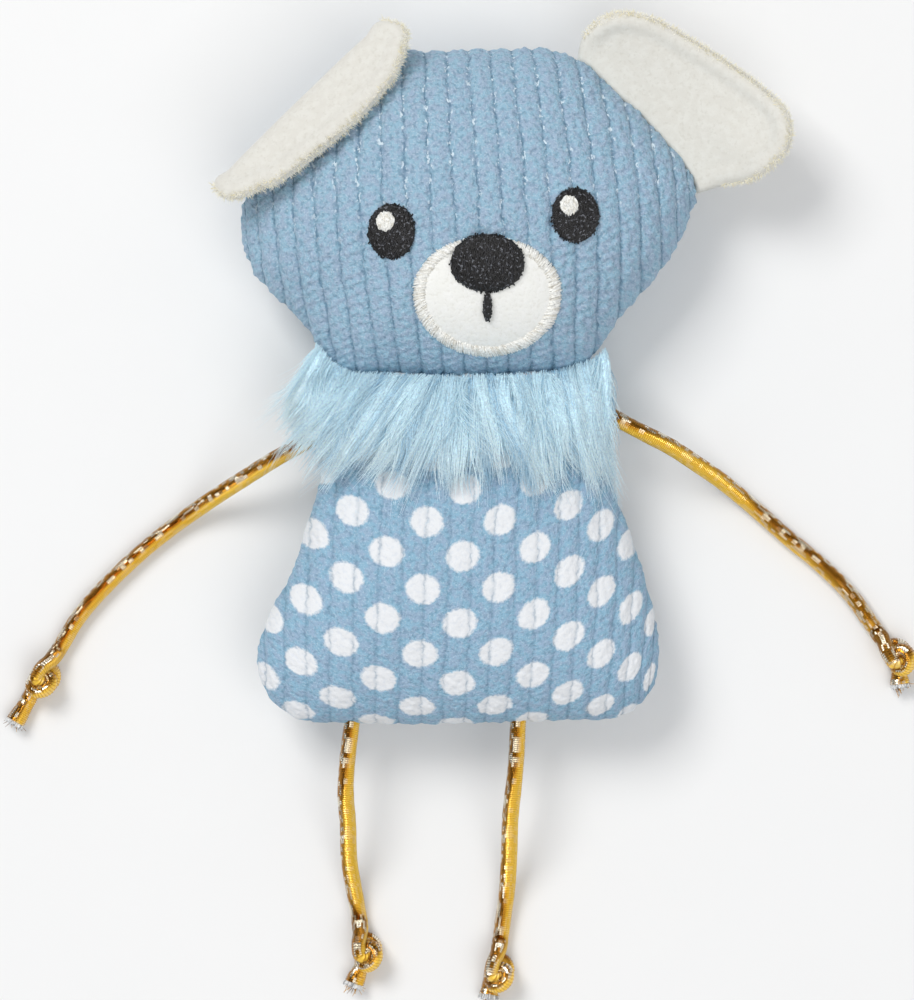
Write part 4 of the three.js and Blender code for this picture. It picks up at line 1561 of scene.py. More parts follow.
@dataclass(kw_only=True)
class Pouch(Form):
    """A stuffed pouch of corduroy.

    Attributes:
        name: name of its CAD body.
        cloth: finish of its cloth.
        replaced: CAD nodes that the front and the back skin stand for.
        lean: how much the ribs lean to the left for each step up.
        gather: how much closer the ribs are at the ends.
        groove_shift: place of one groove, from the middle.
        stretch: how much more cloth lies to the right, for each metre.
        wrap: how much more cloth lies at the ends, for each square metre.
        dot_shift: place of one dot on the cloth, from the middle.
        bow, bow_shift: how much the cloth's rows bend, and where they are lowest.
        print_taper, print_spread, print_tilt: how much the printed rows widen up the
            cloth and to its sides, and how much they lean.
        ridge, bead: height of the ribs and of the beads along them.
        wobbles: how far, over what length and by which seed the grooves wander.
        lumps: the same for the beads' two finer waves.
    """

    name: str
    cloth: CorduroyFinish
    replaced: tuple[tuple[str, ...], tuple[str, ...]]
    lean: float = 0.0
    gather: float = 0.0
    groove_shift: float = 0.0
    stretch: float = 0.0
    wrap: float = 0.0
    dot_shift: tuple[float, float] = (0.0, 0.0)
    bow: float = 0.0
    bow_shift: float = 0.0
    print_taper: float = 0.0
    print_spread: float = 0.0
    print_tilt: float = 0.0

    ridge: float = 0.42 * MM
    bead: float = 0.2 * MM

    wobbles: tuple[tuple[float, float, int], ...] = (
        (0.3 * MM, 11 * MM, 5),
        (0.26 * MM, 3.6 * MM, 6),
        (0.16 * MM, 1.7 * MM, 8),
    )
    lumps: tuple[tuple[float, float, int], ...] = ((1.5, 2.4 * MM, 9), (1.1, 1.4 * MM, 13))
    rib_offset: float = 31 * MM
    rib_bead: float = 0.6
    rib_bead_run: float = 4.5 * MM
    ridge_middle: float = 0.6
    print_middle: float = 12 * MM
    front_cells: int = 300
    back_cells: int = 170
    edge_crowding: float = 1.3
    arc_points: int = 400
    edge_points: int = 360
    over_edge: int = 2

    def field(self, table: tuple, cloth: Array, start: Array | float = 0.0) -> Array:
        """Add up seeded waves on the cloth.

        Args:
            table: size, length and seed of each.
            cloth: the cloth's coordinates.
            start: what they are added to.

        Returns:
            The sum at each place.
        """
        across, down = cloth[..., 0], cloth[..., 1]
        parts = (size * waves(across, down, run, self.seed + seed) for size, run, seed in table)
        return sum(parts, start)

    def arc(self, reach: float, rise: float) -> tuple[Array, Array]:
        """Measure the cloth along one middle line.

        Args:
            reach: length of the line.
            rise: height of the skin.

        Returns:
            Distances from the middle, flat and on the cloth.
        """
        s = np.sin(np.linspace(0, math.pi / 2, self.arc_points))
        flat = s * reach
        level = rise * self.swell(s)
        length = np.hypot(np.diff(flat), np.diff(level))
        return flat, np.concatenate([[0], np.cumsum(length)])

    def cloth_layer(self, x: Array, y: Array) -> Array:
        """Return the cloth's own coordinates over points, across the ribs and along them.

        They are lengths on the cloth along the two middle lines, with the ribs'
        lean and gather taken out.

        Args:
            x, y: the points.

        Returns:
            Their coordinates, in the last axis.
        """
        up = y - self.centre[1]
        squeeze = 1 - self.gather * (up / self.half_height) ** 2
        flat_x = (x - self.centre[0] + self.lean * up) / squeeze
        edge = self.outline(np.linspace(0, FULL_TURN, self.edge_points)) - self.centre
        coordinates = []
        for flat, axis in ((flat_x, 0), (up, 1)):
            ends = (edge[:, axis].max(), -edge[:, axis].min())
            right, left = (
                np.interp(reach, *self.arc(end, self.front_rise))
                + self.over_edge * np.maximum(reach - end, 0)
                for reach, end in zip((flat, -flat), ends)
            )
            coordinates.append(np.where(flat > 0, right, -left))
        across, down = coordinates
        across = across + self.stretch * across**2
        down = down * (1 + self.wrap * down**2)
        return np.stack([across, down - self.bow * (across - self.bow_shift) ** 2], axis=-1)

    def disc(self, cells: int) -> tuple[Array, Array]:
        """Stretch a square grid over the outline, with its cells crowded at the edge.

        A square point (u, v) goes to the disc point (u sqrt(1 - v^2/2),
        v sqrt(1 - u^2/2)), and its radius r to 1 - (1 - r)^crowding.

        Args:
            cells: cells each way.

        Returns:
            x and y of the grid's points.
        """
        line = np.linspace(-1, 1, cells + 1)
        u, v = np.meshgrid(line, line, indexing="ij")
        x, y = u * np.sqrt(1 - v * v / 2), v * np.sqrt(1 - u * u / 2)
        radius = np.hypot(x, y)
        grown = 1 - np.clip(1 - radius, 0, 1) ** self.edge_crowding
        stretch = grown / np.where(radius > 0, radius, 1)
        x, y = x * stretch, y * stretch
        reach = around(self.shares, np.arctan2(y, x))
        x, y = x * reach * self.half_width, y * reach * self.half_height
        return self.centre[0] + x, self.centre[1] + y

    def skin(self, side: Side, material: Material, nodes: Sequence[str]) -> None:
        """Build one skin with its ribs as real ridges.

        The ridge height is 1 - |2p - 1|^3 with p the place between two grooves,
        and beads run along each rib.

        Args:
            side: front or back.
            material: its cloth.
            nodes: CAD nodes that it stands for.
        """
        cells = self.front_cells if side is Side.FRONT else self.back_cells
        x, y = self.disc(cells)
        cloth = self.cloth_layer(x, y)
        across, down = cloth[..., 0], cloth[..., 1]
        shift = self.field(self.wobbles, cloth) - self.groove_shift
        wale = np.stack([across + shift, down], axis=-1)
        place = (wale[..., 0] / self.cloth.pitch) % 1
        ridge = 1 - np.abs(2 * place - 1) ** 3
        rib = np.floor(wale[..., 0] / self.cloth.pitch)
        beads = waves(rib * self.rib_offset, down, self.rib_bead_run, self.seed + 7)
        beads = self.rib_bead * beads
        beads = self.field(self.lumps, cloth, beads)
        lift = self.ridge * (ridge - self.ridge_middle) + self.bead * beads * ridge
        base = np.stack([x, y, self.height(x, y, side)], axis=-1)
        points = base + self.normal(x, y, side) * lift[..., None]
        points[..., 2] = np.maximum(points[..., 2], self.floor_gap)
        faces = grid_faces(cells + 1, cells + 1, flip=side is Side.BACK)
        label = side.name.lower()
        spread = 1 + self.print_taper * (down + self.print_middle) + self.print_spread * across**2
        printed = np.stack([across * spread, down + self.print_tilt * across], axis=-1)
        layers = {"cloth": printed - self.dot_shift, "wale": wale}
        name = f"{self.name}_{label}_corduroy"
        piece = add_piece(name, self.name, points, faces, material, layers)
        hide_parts(*nodes)

    def build(self) -> None:
        """Build both skins."""
        material = corduroy(self.cloth)
        for side, nodes in zip(Side, self.replaced):
            self.skin(side, material, nodes)


HEAD = Pouch(
    name="head",
    cloth=HEAD_CLOTH,
    centre_pixel=(469, 217),
    half_width=41 * MM,
    half_height=29.9 * MM,
    front_rise=18 * MM,
    back_rise=14.5 * MM,
    shares=(
        0.966, 1.013, 0.993, 0.973, 0.976, 0.988, 1.047, 1.066, 1.021, 1.004, 1.01, 1.063,
        1.024, 0.968, 0.956, 0.95, 0.969, 0.987, 0.997, 1.002, 0.998, 0.97, 0.964, 1.016,
        1.075, 1.026, 0.992, 0.981, 0.986, 1.006, 1.018, 0.937, 0.89, 0.887, 0.904, 0.931,
    ),
    replaced=(("head_front_panel", "head_stuffing"), ("head_back_panel",)),
    lean=0.06,
    gather=0.09,
    groove_shift=-2.55 * MM,
    seed=11,
)
TORSO = Pouch(
    name="torso",
    cloth=BODY_CLOTH,
    centre_pixel=(460, 554.5),
    half_width=35.8 * MM,
    half_height=30.5 * MM,
    front_rise=12.5 * MM,
    back_rise=14.5 * MM,
    shares=(
        0.892, 0.86, 0.851, 0.878, 0.953, 1.067, 1.2, 1.2, 1.15, 1.13, 1.15, 1.19,
        1.19, 1.016, 0.896, 0.816, 0.793, 0.793, 0.808, 0.878, 1.015, 1.172, 1.269, 1.263,
        1.143, 1.061, 1.014, 0.994, 1.004, 1.045, 1.123, 1.245, 1.249, 1.155, 1.037, 0.949,
    ),
    replaced=(("body_front_panel", "body_stuffing"), ("body_back_panel",)),
    lean=-0.04,
    gather=0.04,
    groove_shift=2.1 * MM,
    stretch=1.9,
    wrap=71,
    dot_shift=(0.47 * MM, -0.35 * MM),
    print_taper=2.6,
    print_spread=32,
    print_tilt=0.035,
    bow=7.0,
    bow_shift=-4 * MM,
    ridge=0.28 * MM,
    bead=0.11 * MM,
    seed=23,
)


# ---- face


def node_oval(node: str, trim: Sequence[float] = (1.0, 1.0)) -> Oval:
    """Return the middle and the half sizes of a CAD node, seen from above.

    The camera shows a high piece further out, so both are drawn in towards the
    picture's middle by the share of the distance that the head rises there.

    Args:
        node: the CAD node.
        trim: shares of the half sizes to keep.

    Returns:
        The middle and the half sizes.
    """
    low, high = (np.array(corner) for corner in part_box(node))
    middle, half = (low + high)[:2] / 2, (high - low)[:2] / 2
    rise = float(HEAD.height(middle[:1], middle[1:])[0]) - SEAM_LEVEL
    draw = 1 - rise / PICTURE.distance
    return PICTURE.centre() + (middle - PICTURE.centre()) * draw, half * draw * np.array(trim)


@dataclass(frozen=True)
class Stitching:
    """How an embroidered area is filled.

    Attributes:
        base: height of the padding's edge over the cloth.
        dome: how much higher the padding is at its middle.
        count: number of stitches.
        length: length of a stitch.
        lean: main direction, in degrees from the right.
        spread: how much the directions differ, in degrees.
        radius: half the thickness of the thread.
        ragged: how far stitches overrun the outline, as a share of its size.
        trim: shares of the CAD node's size to fill.
    """

    base: float
    dome: float
    count: int = 0
    length: float = 0.0
    lean: float = 0.0
    spread: float = 0.0
    radius: float = 0.14 * MM
    ragged: float = 0.05
    trim: tuple[float, float] = (1.0, 1.0)


@dataclass
class Face:
    """Embroidered eyes, nose and mouth, and the plush muzzle with its satin edge."""

    eye: Stitching = Stitching(
        base=0.25 * MM, dome=0.75 * MM, count=620, length=1.3 * MM,
        lean=68, spread=34, ragged=0.09, trim=(0.92, 0.96),
    )
    glint: Stitching = Stitching(
        base=1.05 * MM, dome=0.35 * MM, count=90, length=1.1 * MM,
        lean=100, spread=24, ragged=0.16, trim=(0.96, 1.0),
    )
    nose: Stitching = Stitching(
        base=1.35 * MM, dome=1.1 * MM, count=980, length=1.5 * MM,
        lean=82, spread=34, ragged=0.06, trim=(0.97, 0.92),
    )
    mouth: Stitching = Stitching(
        base=1.7 * MM, dome=0.35 * MM, count=110, length=1.0 * MM,
        lean=108, spread=22, ragged=0.3, trim=(1.5, 1.2),
    )
    egg: Shares = (
        1, 1.01, 1, 0.99, 0.97, 0.95, 0.94, 0.95, 0.97, 0.99, 1, 1.01,
        1, 1, 1, 1, 1, 1, 1, 1, 1, 1, 1, 1,
    )
    patch: Stitching = Stitching(base=0.45 * MM, dome=0.75 * MM)
    patch_overlap: float = 0.6
    muzzle_trim: tuple[float, float] = (0.975, 0.985)
    pad_spokes: int = 96
    pad_rings: int = 26
    pad_sunk: float = 0.3 * MM
    stitch_points: int = 6
    border_seed: int = 41
    border_threads: int = 560
    border_share: float = 0.17
    border_points: int = 11
    border_lean: float = 0.075
    border_height: float = 1.0 * MM
    border_sunk: float = 0.15 * MM
    border_radius: float = 0.14 * MM

    def dome(self, oval: Oval, spec: Stitching, x: Array, y: Array) -> Array:
        """Return the height of an area's padding over points.

        Args:
            oval: its middle and half sizes.
            spec: heights of the padding.
            x, y: the points.

        Returns:
            The heights.
        """
        centre, half = oval
        reach = np.hypot((x - centre[0]) / half[0], (y - centre[1]) / half[1])
        swell = np.sqrt(np.maximum(1 - np.minimum(reach, 1) ** 2, 0))
        return HEAD.height(x, y) + spec.base + spec.dome * swell

    def pad(
        self,
        name: str,
        oval: Oval,
        spec: Stitching,
        material: Material,
        shares: Sequence[float] = (1.0,) * 4,
    ) -> Piece:
        """Build the closed padding under stitches, or a plush patch.

        Args:
            name: name of the piece.
            oval: its middle and half sizes.
            spec: heights of the padding.
            material: its finish.
            shares: its outline as shares of the half sizes.

        Returns:
            The piece.
        """
        centre, half = oval
        turn = np.linspace(0, FULL_TURN, self.pad_spokes + 1)[:-1]
        reach = np.concatenate([np.sin(np.linspace(0, math.pi / 2, self.pad_rings)), [1.0]])
        scale = around(shares, turn)
        x = centre[0] + reach[:, None] * half[0] * scale * np.cos(turn)
        y = centre[1] + reach[:, None] * half[1] * scale * np.sin(turn)
        z = self.dome((centre, half * scale.mean()), spec, x, y)
        z[-1] = HEAD.height(x[-1], y[-1]) - self.pad_sunk
        faces = grid_faces(len(reach), len(turn), ring=True)
        layer = np.zeros((*x.shape, 2))
        points = np.stack([x, y, z], axis=-1)
        return add_piece(name, "head", points, faces, material, {"strand": layer})

    def stitches(self, oval: Oval, spec: Stitching, seed: int) -> Tubes:
        """Fill an oval with short stitches that lie over its padding.

        The stitches' middles follow a sunflower spiral, which spreads them evenly.

        Args:
            oval: middle and half sizes.
            spec: how it is filled.
            seed: number that picks the directions.

        Returns:
            The stitches.
        """
        centre, half = oval
        rng = np.random.default_rng(seed)
        number = np.arange(spec.count)
        reach = np.sqrt((number + 0.5) / spec.count)
        turn = number * math.pi * (3 - math.sqrt(5))
        lean = np.radians(spec.lean + spec.spread * rng.normal(size=spec.count))
        middle = np.stack([reach * np.cos(turn) * half[0], reach * np.sin(turn) * half[1]], axis=-1)
        length = spec.length * (0.75 + 0.5 * rng.random(spec.count))
        way = np.stack([np.cos(lean), np.sin(lean)], axis=-1) * length[:, None]
        steps = np.linspace(-0.5, 0.5, self.stitch_points)
        flat = middle[:, None] + way[:, None] * steps[:, None]
        edge = np.linalg.norm(flat / half, axis=-1, keepdims=True)
        limit = 1 + spec.ragged * rng.normal(size=(spec.count, 1, 1)) * 0.6
        flat = centre + flat * np.minimum(1, limit / np.maximum(edge, 1e-9))
        z = self.dome(oval, spec, flat[..., 0], flat[..., 1])
        z = z + spec.radius * (1.2 * rng.random((spec.count, 1)) - 2.2 * (2 * steps) ** 2 * 0.5)
        paths = np.concatenate([flat, z[..., None]], axis=-1)
        radii = np.full(paths.shape[:2], spec.radius)
        return make_tubes(paths, radii, 5, rng.random(spec.count))

    def embroider(
        self, node: str, spec: Stitching, material: Material, seed: int
    ) -> None:
        """Build one embroidered area in place of its CAD node.

        Args:
            node: the CAD node.
            spec: how it is filled.
            material: finish of padding and thread.
            seed: number that picks the stitches.
        """
        oval = node_oval(node, spec.trim)
        padding = self.pad(f"{node}_padding", oval, spec, material)
        tubes = self.stitches(oval, spec, seed)
        piece = tubes.add(f"{node}_threads", "head", material)
        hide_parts(node)

    def border(self, material: Material) -> None:
        """Build the satin edge of the muzzle from threads that arch across it.

        Args:
            material: finish of the thread.
        """
        centre, half = node_oval("muzzle_border_stitch", self.muzzle_trim)
        rng = np.random.default_rng(self.border_seed)
        count = self.border_threads
        turn = (np.arange(count) + 0.7 * rng.random(count)) / count * FULL_TURN
        steps = 0.5 - 0.5 * np.cos(np.linspace(0, math.pi, self.border_points))
        inner = 1 - self.border_share * (1 + 0.09 * rng.normal(size=count))
        outer = 1 + 0.008 * rng.normal(size=count)
        reach = inner[:, None] + (outer - inner)[:, None] * steps
        lean = self.border_lean + 0.02 * rng.normal(size=count)
        angle = turn[:, None] + lean[:, None] * (steps - 0.5)
        scale = around(self.egg, angle)
        x = centre[0] + reach * half[0] * scale * np.cos(angle)
        y = centre[1] + reach * half[1] * scale * np.sin(angle)
        arch = np.sqrt(np.maximum(1 - (2 * steps - 1) ** 2, 0))
        top = self.border_height * (1 + 0.1 * rng.random((count, 1)))
        z = HEAD.height(x, y) - self.border_sunk + top * arch
        paths = np.stack([x, y, z], axis=-1)
        radii = np.full(paths.shape[:2], self.border_radius)
        tubes = make_tubes(paths, radii, 6, rng.random(count))
        piece = tubes.add("muzzle_border_threads", "head", material)
        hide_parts("muzzle_border_stitch")

    def build(self) -> None:
        """Build the whole face."""
        black = strand_material(BLACK_THREAD)
        white = strand_material(WHITE_THREAD)
        centre, half = node_oval("muzzle_border_stitch", self.muzzle_trim)
        inside = (centre, half * (1 - self.patch_overlap * self.border_share))
        patch = self.pad("muzzle_patch_plush", inside, self.patch, plush(MUZZLE_PLUSH), self.egg)
        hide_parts("muzzle_patch")
        self.border(white)
        self.embroider("nose_embroidery", self.nose, black, 43)
        self.embroider("mouth_stitch", self.mouth, black, 47)
        for number, side in enumerate(("left", "right")):
            self.embroider(f"{side}_eye_embroidery", self.eye, black, 53 + number)
            self.embroider(f"{side}_eye_highlight", self.glint, white, 59 + number)


# ---- ears


@dataclass
class Ear:
    """One ear, two plush layers sewn round their rim and into the head's seam.

    Attributes:
        name: name of its CAD body.
        folded: whether it is folded forward over the head.
        seed: number that picks its creases and its pile.
        base_length: length of its sewn edge.
        length: length from there to the tip, on the cloth.
        setback: how far it stands behind the hinge line.
        starts, ends: both ends of its rows, as shares of the sewn edge.
    """

    name: str
    folded: bool
    seed: int
    base_length: float
    length: float
    setback: float
    starts: Shares
    ends: Shares

    half_thickness: float = 1.3 * MM
    rim_width: float = 3.6 * MM
    cup: float = 2.5 * MM
    curl: float = 3.0 * MM
    rise_at_top: float = 7.5 * MM
    rise_at_bottom: float = 9.3 * MM
    bend_length: float = 2.8 * MM
    start_angle: float = math.radians(92)
    end_angle: float = math.radians(150)
    rows: Shares = (0, 0.12, 0.3, 0.455, 0.57, 0.68, 0.785, 0.87, 0.934, 0.983, 1)
    row_count: int = 110
    column_count: int = 90
    crease: float = 0.3 * MM
    tuck: float = 0.4 * MM
    rim_hairs: int = 2600
    rim_ends: int = 8
    hair_points: int = 5
    hair_tilt: float = 1.35
    hair_root: float = 0.55
    hair_bend: float = 0.22 * MM
    hair_radius: float = 0.085 * MM
    held_run: float = 4.5 * MM

    def __post_init__(self) -> None:
        """Read the hinge and find which way is away from the head."""
        joint = JOINTS[f"{self.name}_fold"]
        self.origin = np.array(joint["pos_m"])
        self.way = np.array(joint["axis"])
        out = np.array([-self.way[1], self.way[0], 0.0])
        self.out = out * np.sign(np.dot(out[:2], self.origin[:2] - HEAD.centre))

    def sewn_inset(self, place: Array) -> Array:
        """Return how far the head's edge lies behind the hinge line, at places along it.

        Args:
            place: shares of the sewn edge.

        Returns:
            The distances.
        """
        edge = HEAD.outline(np.linspace(0, FULL_TURN, 721)) - self.origin[:2]
        spot = edge @ self.way[:2] / self.base_length
        offset = edge @ self.out[:2]
        outer = offset > -12 * MM
        order = np.argsort(spot[outer])
        return -np.interp(np.clip(place, 0, 1), spot[outer][order], offset[outer][order])

    def section(self, place: Array, reach: Array) -> tuple[Array, Array]:
        """Return the distance from the hinge and the height of the ear's middle sheet.

        The flat ear rises as cup (2p - 1)^2 at its sides and curl r^2 at its
        tip. The folded one stands up from the seam, bends and falls forward.

        Args:
            place: share of the sewn edge.
            reach: length from the sewn edge, on the cloth.

        Returns:
            Distances and heights.
        """
        if not self.folded:
            share = reach / self.length
            side = (2 * place - 1) ** 2
            return reach, self.cup * side * ease(2 * share) + self.curl * share**2
        rise = self.rise_at_top + (self.rise_at_bottom - self.rise_at_top) * place
        straight = np.minimum(reach, rise)
        bent = np.clip(reach - rise, 0, self.bend_length)
        flap = np.maximum(reach - rise - self.bend_length, 0)
        radius = self.bend_length / (self.end_angle - self.start_angle)
        angle = self.start_angle + bent / radius
        across = straight * math.cos(self.start_angle) + flap * math.cos(self.end_angle)
        across = across + radius * (np.sin(angle) - math.sin(self.start_angle))
        up = straight * math.sin(self.start_angle) + flap * math.sin(self.end_angle)
        return across, up + radius * (math.cos(self.start_angle) - np.cos(angle))

    def sheet(self, row: Array, share: Array) -> Array:
        """Return points of the ear's middle sheet.

        Args:
            row: share of the length from the sewn edge to the tip.
            share: share of the width there, from one rim to the other.

        Returns:
            The points.
        """
        start = along(self.rows, self.starts, row)
        end = along(self.rows, self.ends, row)
        place = start + (end - start) * share
        reach, height = self.section(place, row * self.length)
        sewn = self.setback + (self.sewn_inset(place) + self.tuck) * (1 - row) ** 4
        crease = waves(place * 30 * MM, row * 22 * MM, 16 * MM, self.seed) * ease(3 * row)
        flat = self.way * (place * self.base_length)[..., None]
        flat = flat + self.out * (reach - sewn)[..., None]
        return self.origin + flat + UP * (height + self.crease * crease)[..., None]

    def build(self, material: Material, pile: Material) -> None:
        """Build the two layers as one pillow and the hairs of its rim.

        Half the thickness is t sqrt(1 - (1 - d/w)^2) at the distance d from the
        rim, thicker in a roll round the rim and thinner at the seam inside it. The
        layers meet in the sewn edge.

        Args:
            material: finish of the plush.
            pile: finish of the hairs.
        """
        row = np.sin(np.linspace(0, math.pi / 2, self.row_count)) ** 0.9
        share = 0.5 - 0.5 * np.cos(np.linspace(0, math.pi, self.column_count))
        rows, shares = np.meshgrid(row, share, indexing="ij")
        middle = self.sheet(rows, shares)
        normal = unit(np.cross(np.gradient(middle, axis=1), np.gradient(middle, axis=0)))
        rim = np.concatenate([middle[:, 0], middle[-1], middle[:, -1]])
        inward = np.sqrt(((middle[:, :, None] - rim) ** 2).sum(axis=-1).min(axis=-1))
        plump = np.sqrt(1 - (1 - np.minimum(inward / self.half_thickness, 1)) ** 2)
        roll = np.exp(-(((inward - self.rim_width * 0.5) / (self.rim_width * 0.42)) ** 2))
        seam = np.exp(-(((inward - self.rim_width) / (self.rim_width * 0.3)) ** 2))
        grown = ease(4 * rows)
        depth = self.half_thickness * plump * (0.8 + grown * (0.4 * roll - 0.06 * seam))
        depth[0] = 0
        depth = depth[..., None]
        points = np.concatenate([middle + normal * depth, middle - normal * depth])
        faces = grid_faces(self.row_count, self.column_count)
        faces = np.concatenate([faces[:, ::-1], faces + middle.size // 3])
        piece = add_piece(f"{self.name}_plush", None, points, faces, material)
        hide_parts(f"{self.name}_front_layer", f"{self.name}_back_layer")
        self.hold(piece)
        self.rim(middle, normal, pile)

    def hold(self, piece: Piece) -> None:
        """Bake a piece's transform into its mesh."""
        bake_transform(piece)

    def rim(self, middle: Array, normal: Array, pile: Material) -> None:
        """Add the pile that stands out round the rim.

        Args:
            middle, normal: points and normals of the middle sheet.
            pile: finish of the hairs.
        """
        rng = np.random.default_rng(self.seed)
        skip = self.rim_ends
        edge = np.concatenate([middle[skip:, 0], middle[-1, 1:], middle[::-1][1:-skip, -1]])
        facing = np.concatenate([normal[skip:, 2], normal[-3, 1:], normal[::-1][1:-skip, -3]])
        run = travelled(edge)
        spot = rng.random(self.rim_hairs) * run[-1]
        tables = (edge, facing, np.gradient(edge, run, axis=0))
        root, up, ahead = (
            np.stack([np.interp(spot, run, table[:, axis]) for axis in range(3)], axis=1)
            for table in tables
        )
        outward = unit(np.cross(ahead, up))
        centre = middle[self.row_count // 2, self.column_count // 2]
        outward = outward * np.sign(np.sum(outward * (root - centre), axis=1, keepdims=True))
        tilt = rng.uniform(-self.hair_tilt, self.hair_tilt, self.rim_hairs)[:, None]
        way = unit(outward * np.cos(tilt) + up * np.sin(tilt) + 0.35 * rng.normal(size=root.shape))
        inside = up * np.sin(tilt) * self.hair_root * self.half_thickness
        inside = inside - self.hair_root * MM * outward
        length = (0.7 + 0.45 * rng.random(self.rim_hairs)) * MM
        steps = np.linspace(0, 1, self.hair_points)
        bend = rng.normal(size=root.shape) * self.hair_bend
        paths = hairs(root + inside, way, length, bend, steps)
        radii = np.full(paths.shape[:2], self.hair_radius) * (1 - 0.7 * steps)
        tubes = make_tubes(paths, radii, 3, rng.random(self.rim_hairs))
        piece = tubes.add(f"{self.name}_rim_pile", None, pile)
        self.hold(piece)


LEFT_EAR = Ear(
    "left_ear",
    folded=True,
    seed=83,
    base_length=36.15 * MM,
    length=20.4 * MM,
    setback=1.0 * MM,
    starts=(0.07, 0.01, -0.075, -0.125, -0.149, -0.14, -0.08, -0.005, 0.075, 0.24, 0.32),
    ends=(0.93, 0.985, 1.035, 1.07, 1.078, 1.07, 1.012, 0.892, 0.812, 0.57, 0.43),
)
RIGHT_EAR = Ear(
    "right_ear",
    folded=False,
    seed=89,
    base_length=33.1 * MM,
    length=17.5 * MM,
    setback=0.0,
    starts=(0.05, -0.02, -0.036, 0.012, 0.084, 0.192, 0.365, 0.531, 0.674, 0.836, 0.93),
    ends=(1.02, 1.075, 1.168, 1.19, 1.189, 1.187, 1.163, 1.128, 1.086, 1.035, 1.0),
)


# ---- fur collar


@dataclass(frozen=True)
class Coat:
    """One layer of the collar's pile.

    Attributes:
        name: name of its piece, after "collar_".
        side: side of the body that it lies on.
        strands: number of strands.
        locks: number of locks that they gather into.
        root_from, root_to: rows that it grows from, as shares of the way to the hem.
        length: length as a share of the way to the hem.
        lift: how much higher than the lowest coat it lies, in millimetres.
        seed: number that picks its strands.
        pull: mean share of the way that a strand moves to its lock's middle.
        bend: how far locks bend sideways, in pixels.
        thick: thickness of its strands, as a share of the usual one.
        margin: share of the collar's width without it, at both ends.
    """

    name: str
    side: Side
    strands: int
    locks: int
    root_from: float
    root_to: float
    length: float
    lift: float
    seed: int
    pull: float = 0.5
    bend: float = 7.0
    thick: float = 1.0
    margin: float = 0.0

    def table(self, rng: np.random.Generator) -> dict[str, Array]:
        """Pick each lock's own length, pull, bend, shift and lift.

        Args:
            rng: source of chance.

        Returns:
            One number for each lock, by name.
        """
        count = self.locks
        return {
            "length": 0.78 + 0.42 * rng.random(count),
            "pull": self.pull + 0.35 * (rng.random(count) - 0.5),
            "bend": rng.normal(size=count) * self.bend,
            "sway": rng.normal(size=count) * self.bend * 0.35,
            "shift": (rng.random(count) - 0.5) * 0.6,
            "lift": rng.random(count),
        }


# The round body of air under the pile.
PILE_BED = Form(
    centre_pixel=(448.4, 488.5),
    half_width=29.6 * MM,
    half_height=21 * MM,
    front_rise=15.4 * MM,
    back_rise=13.7 * MM,
    shares=(1, 1.03, 1.12, 1.28, 1.12, 1.03) * 4,
    seed=23,
)


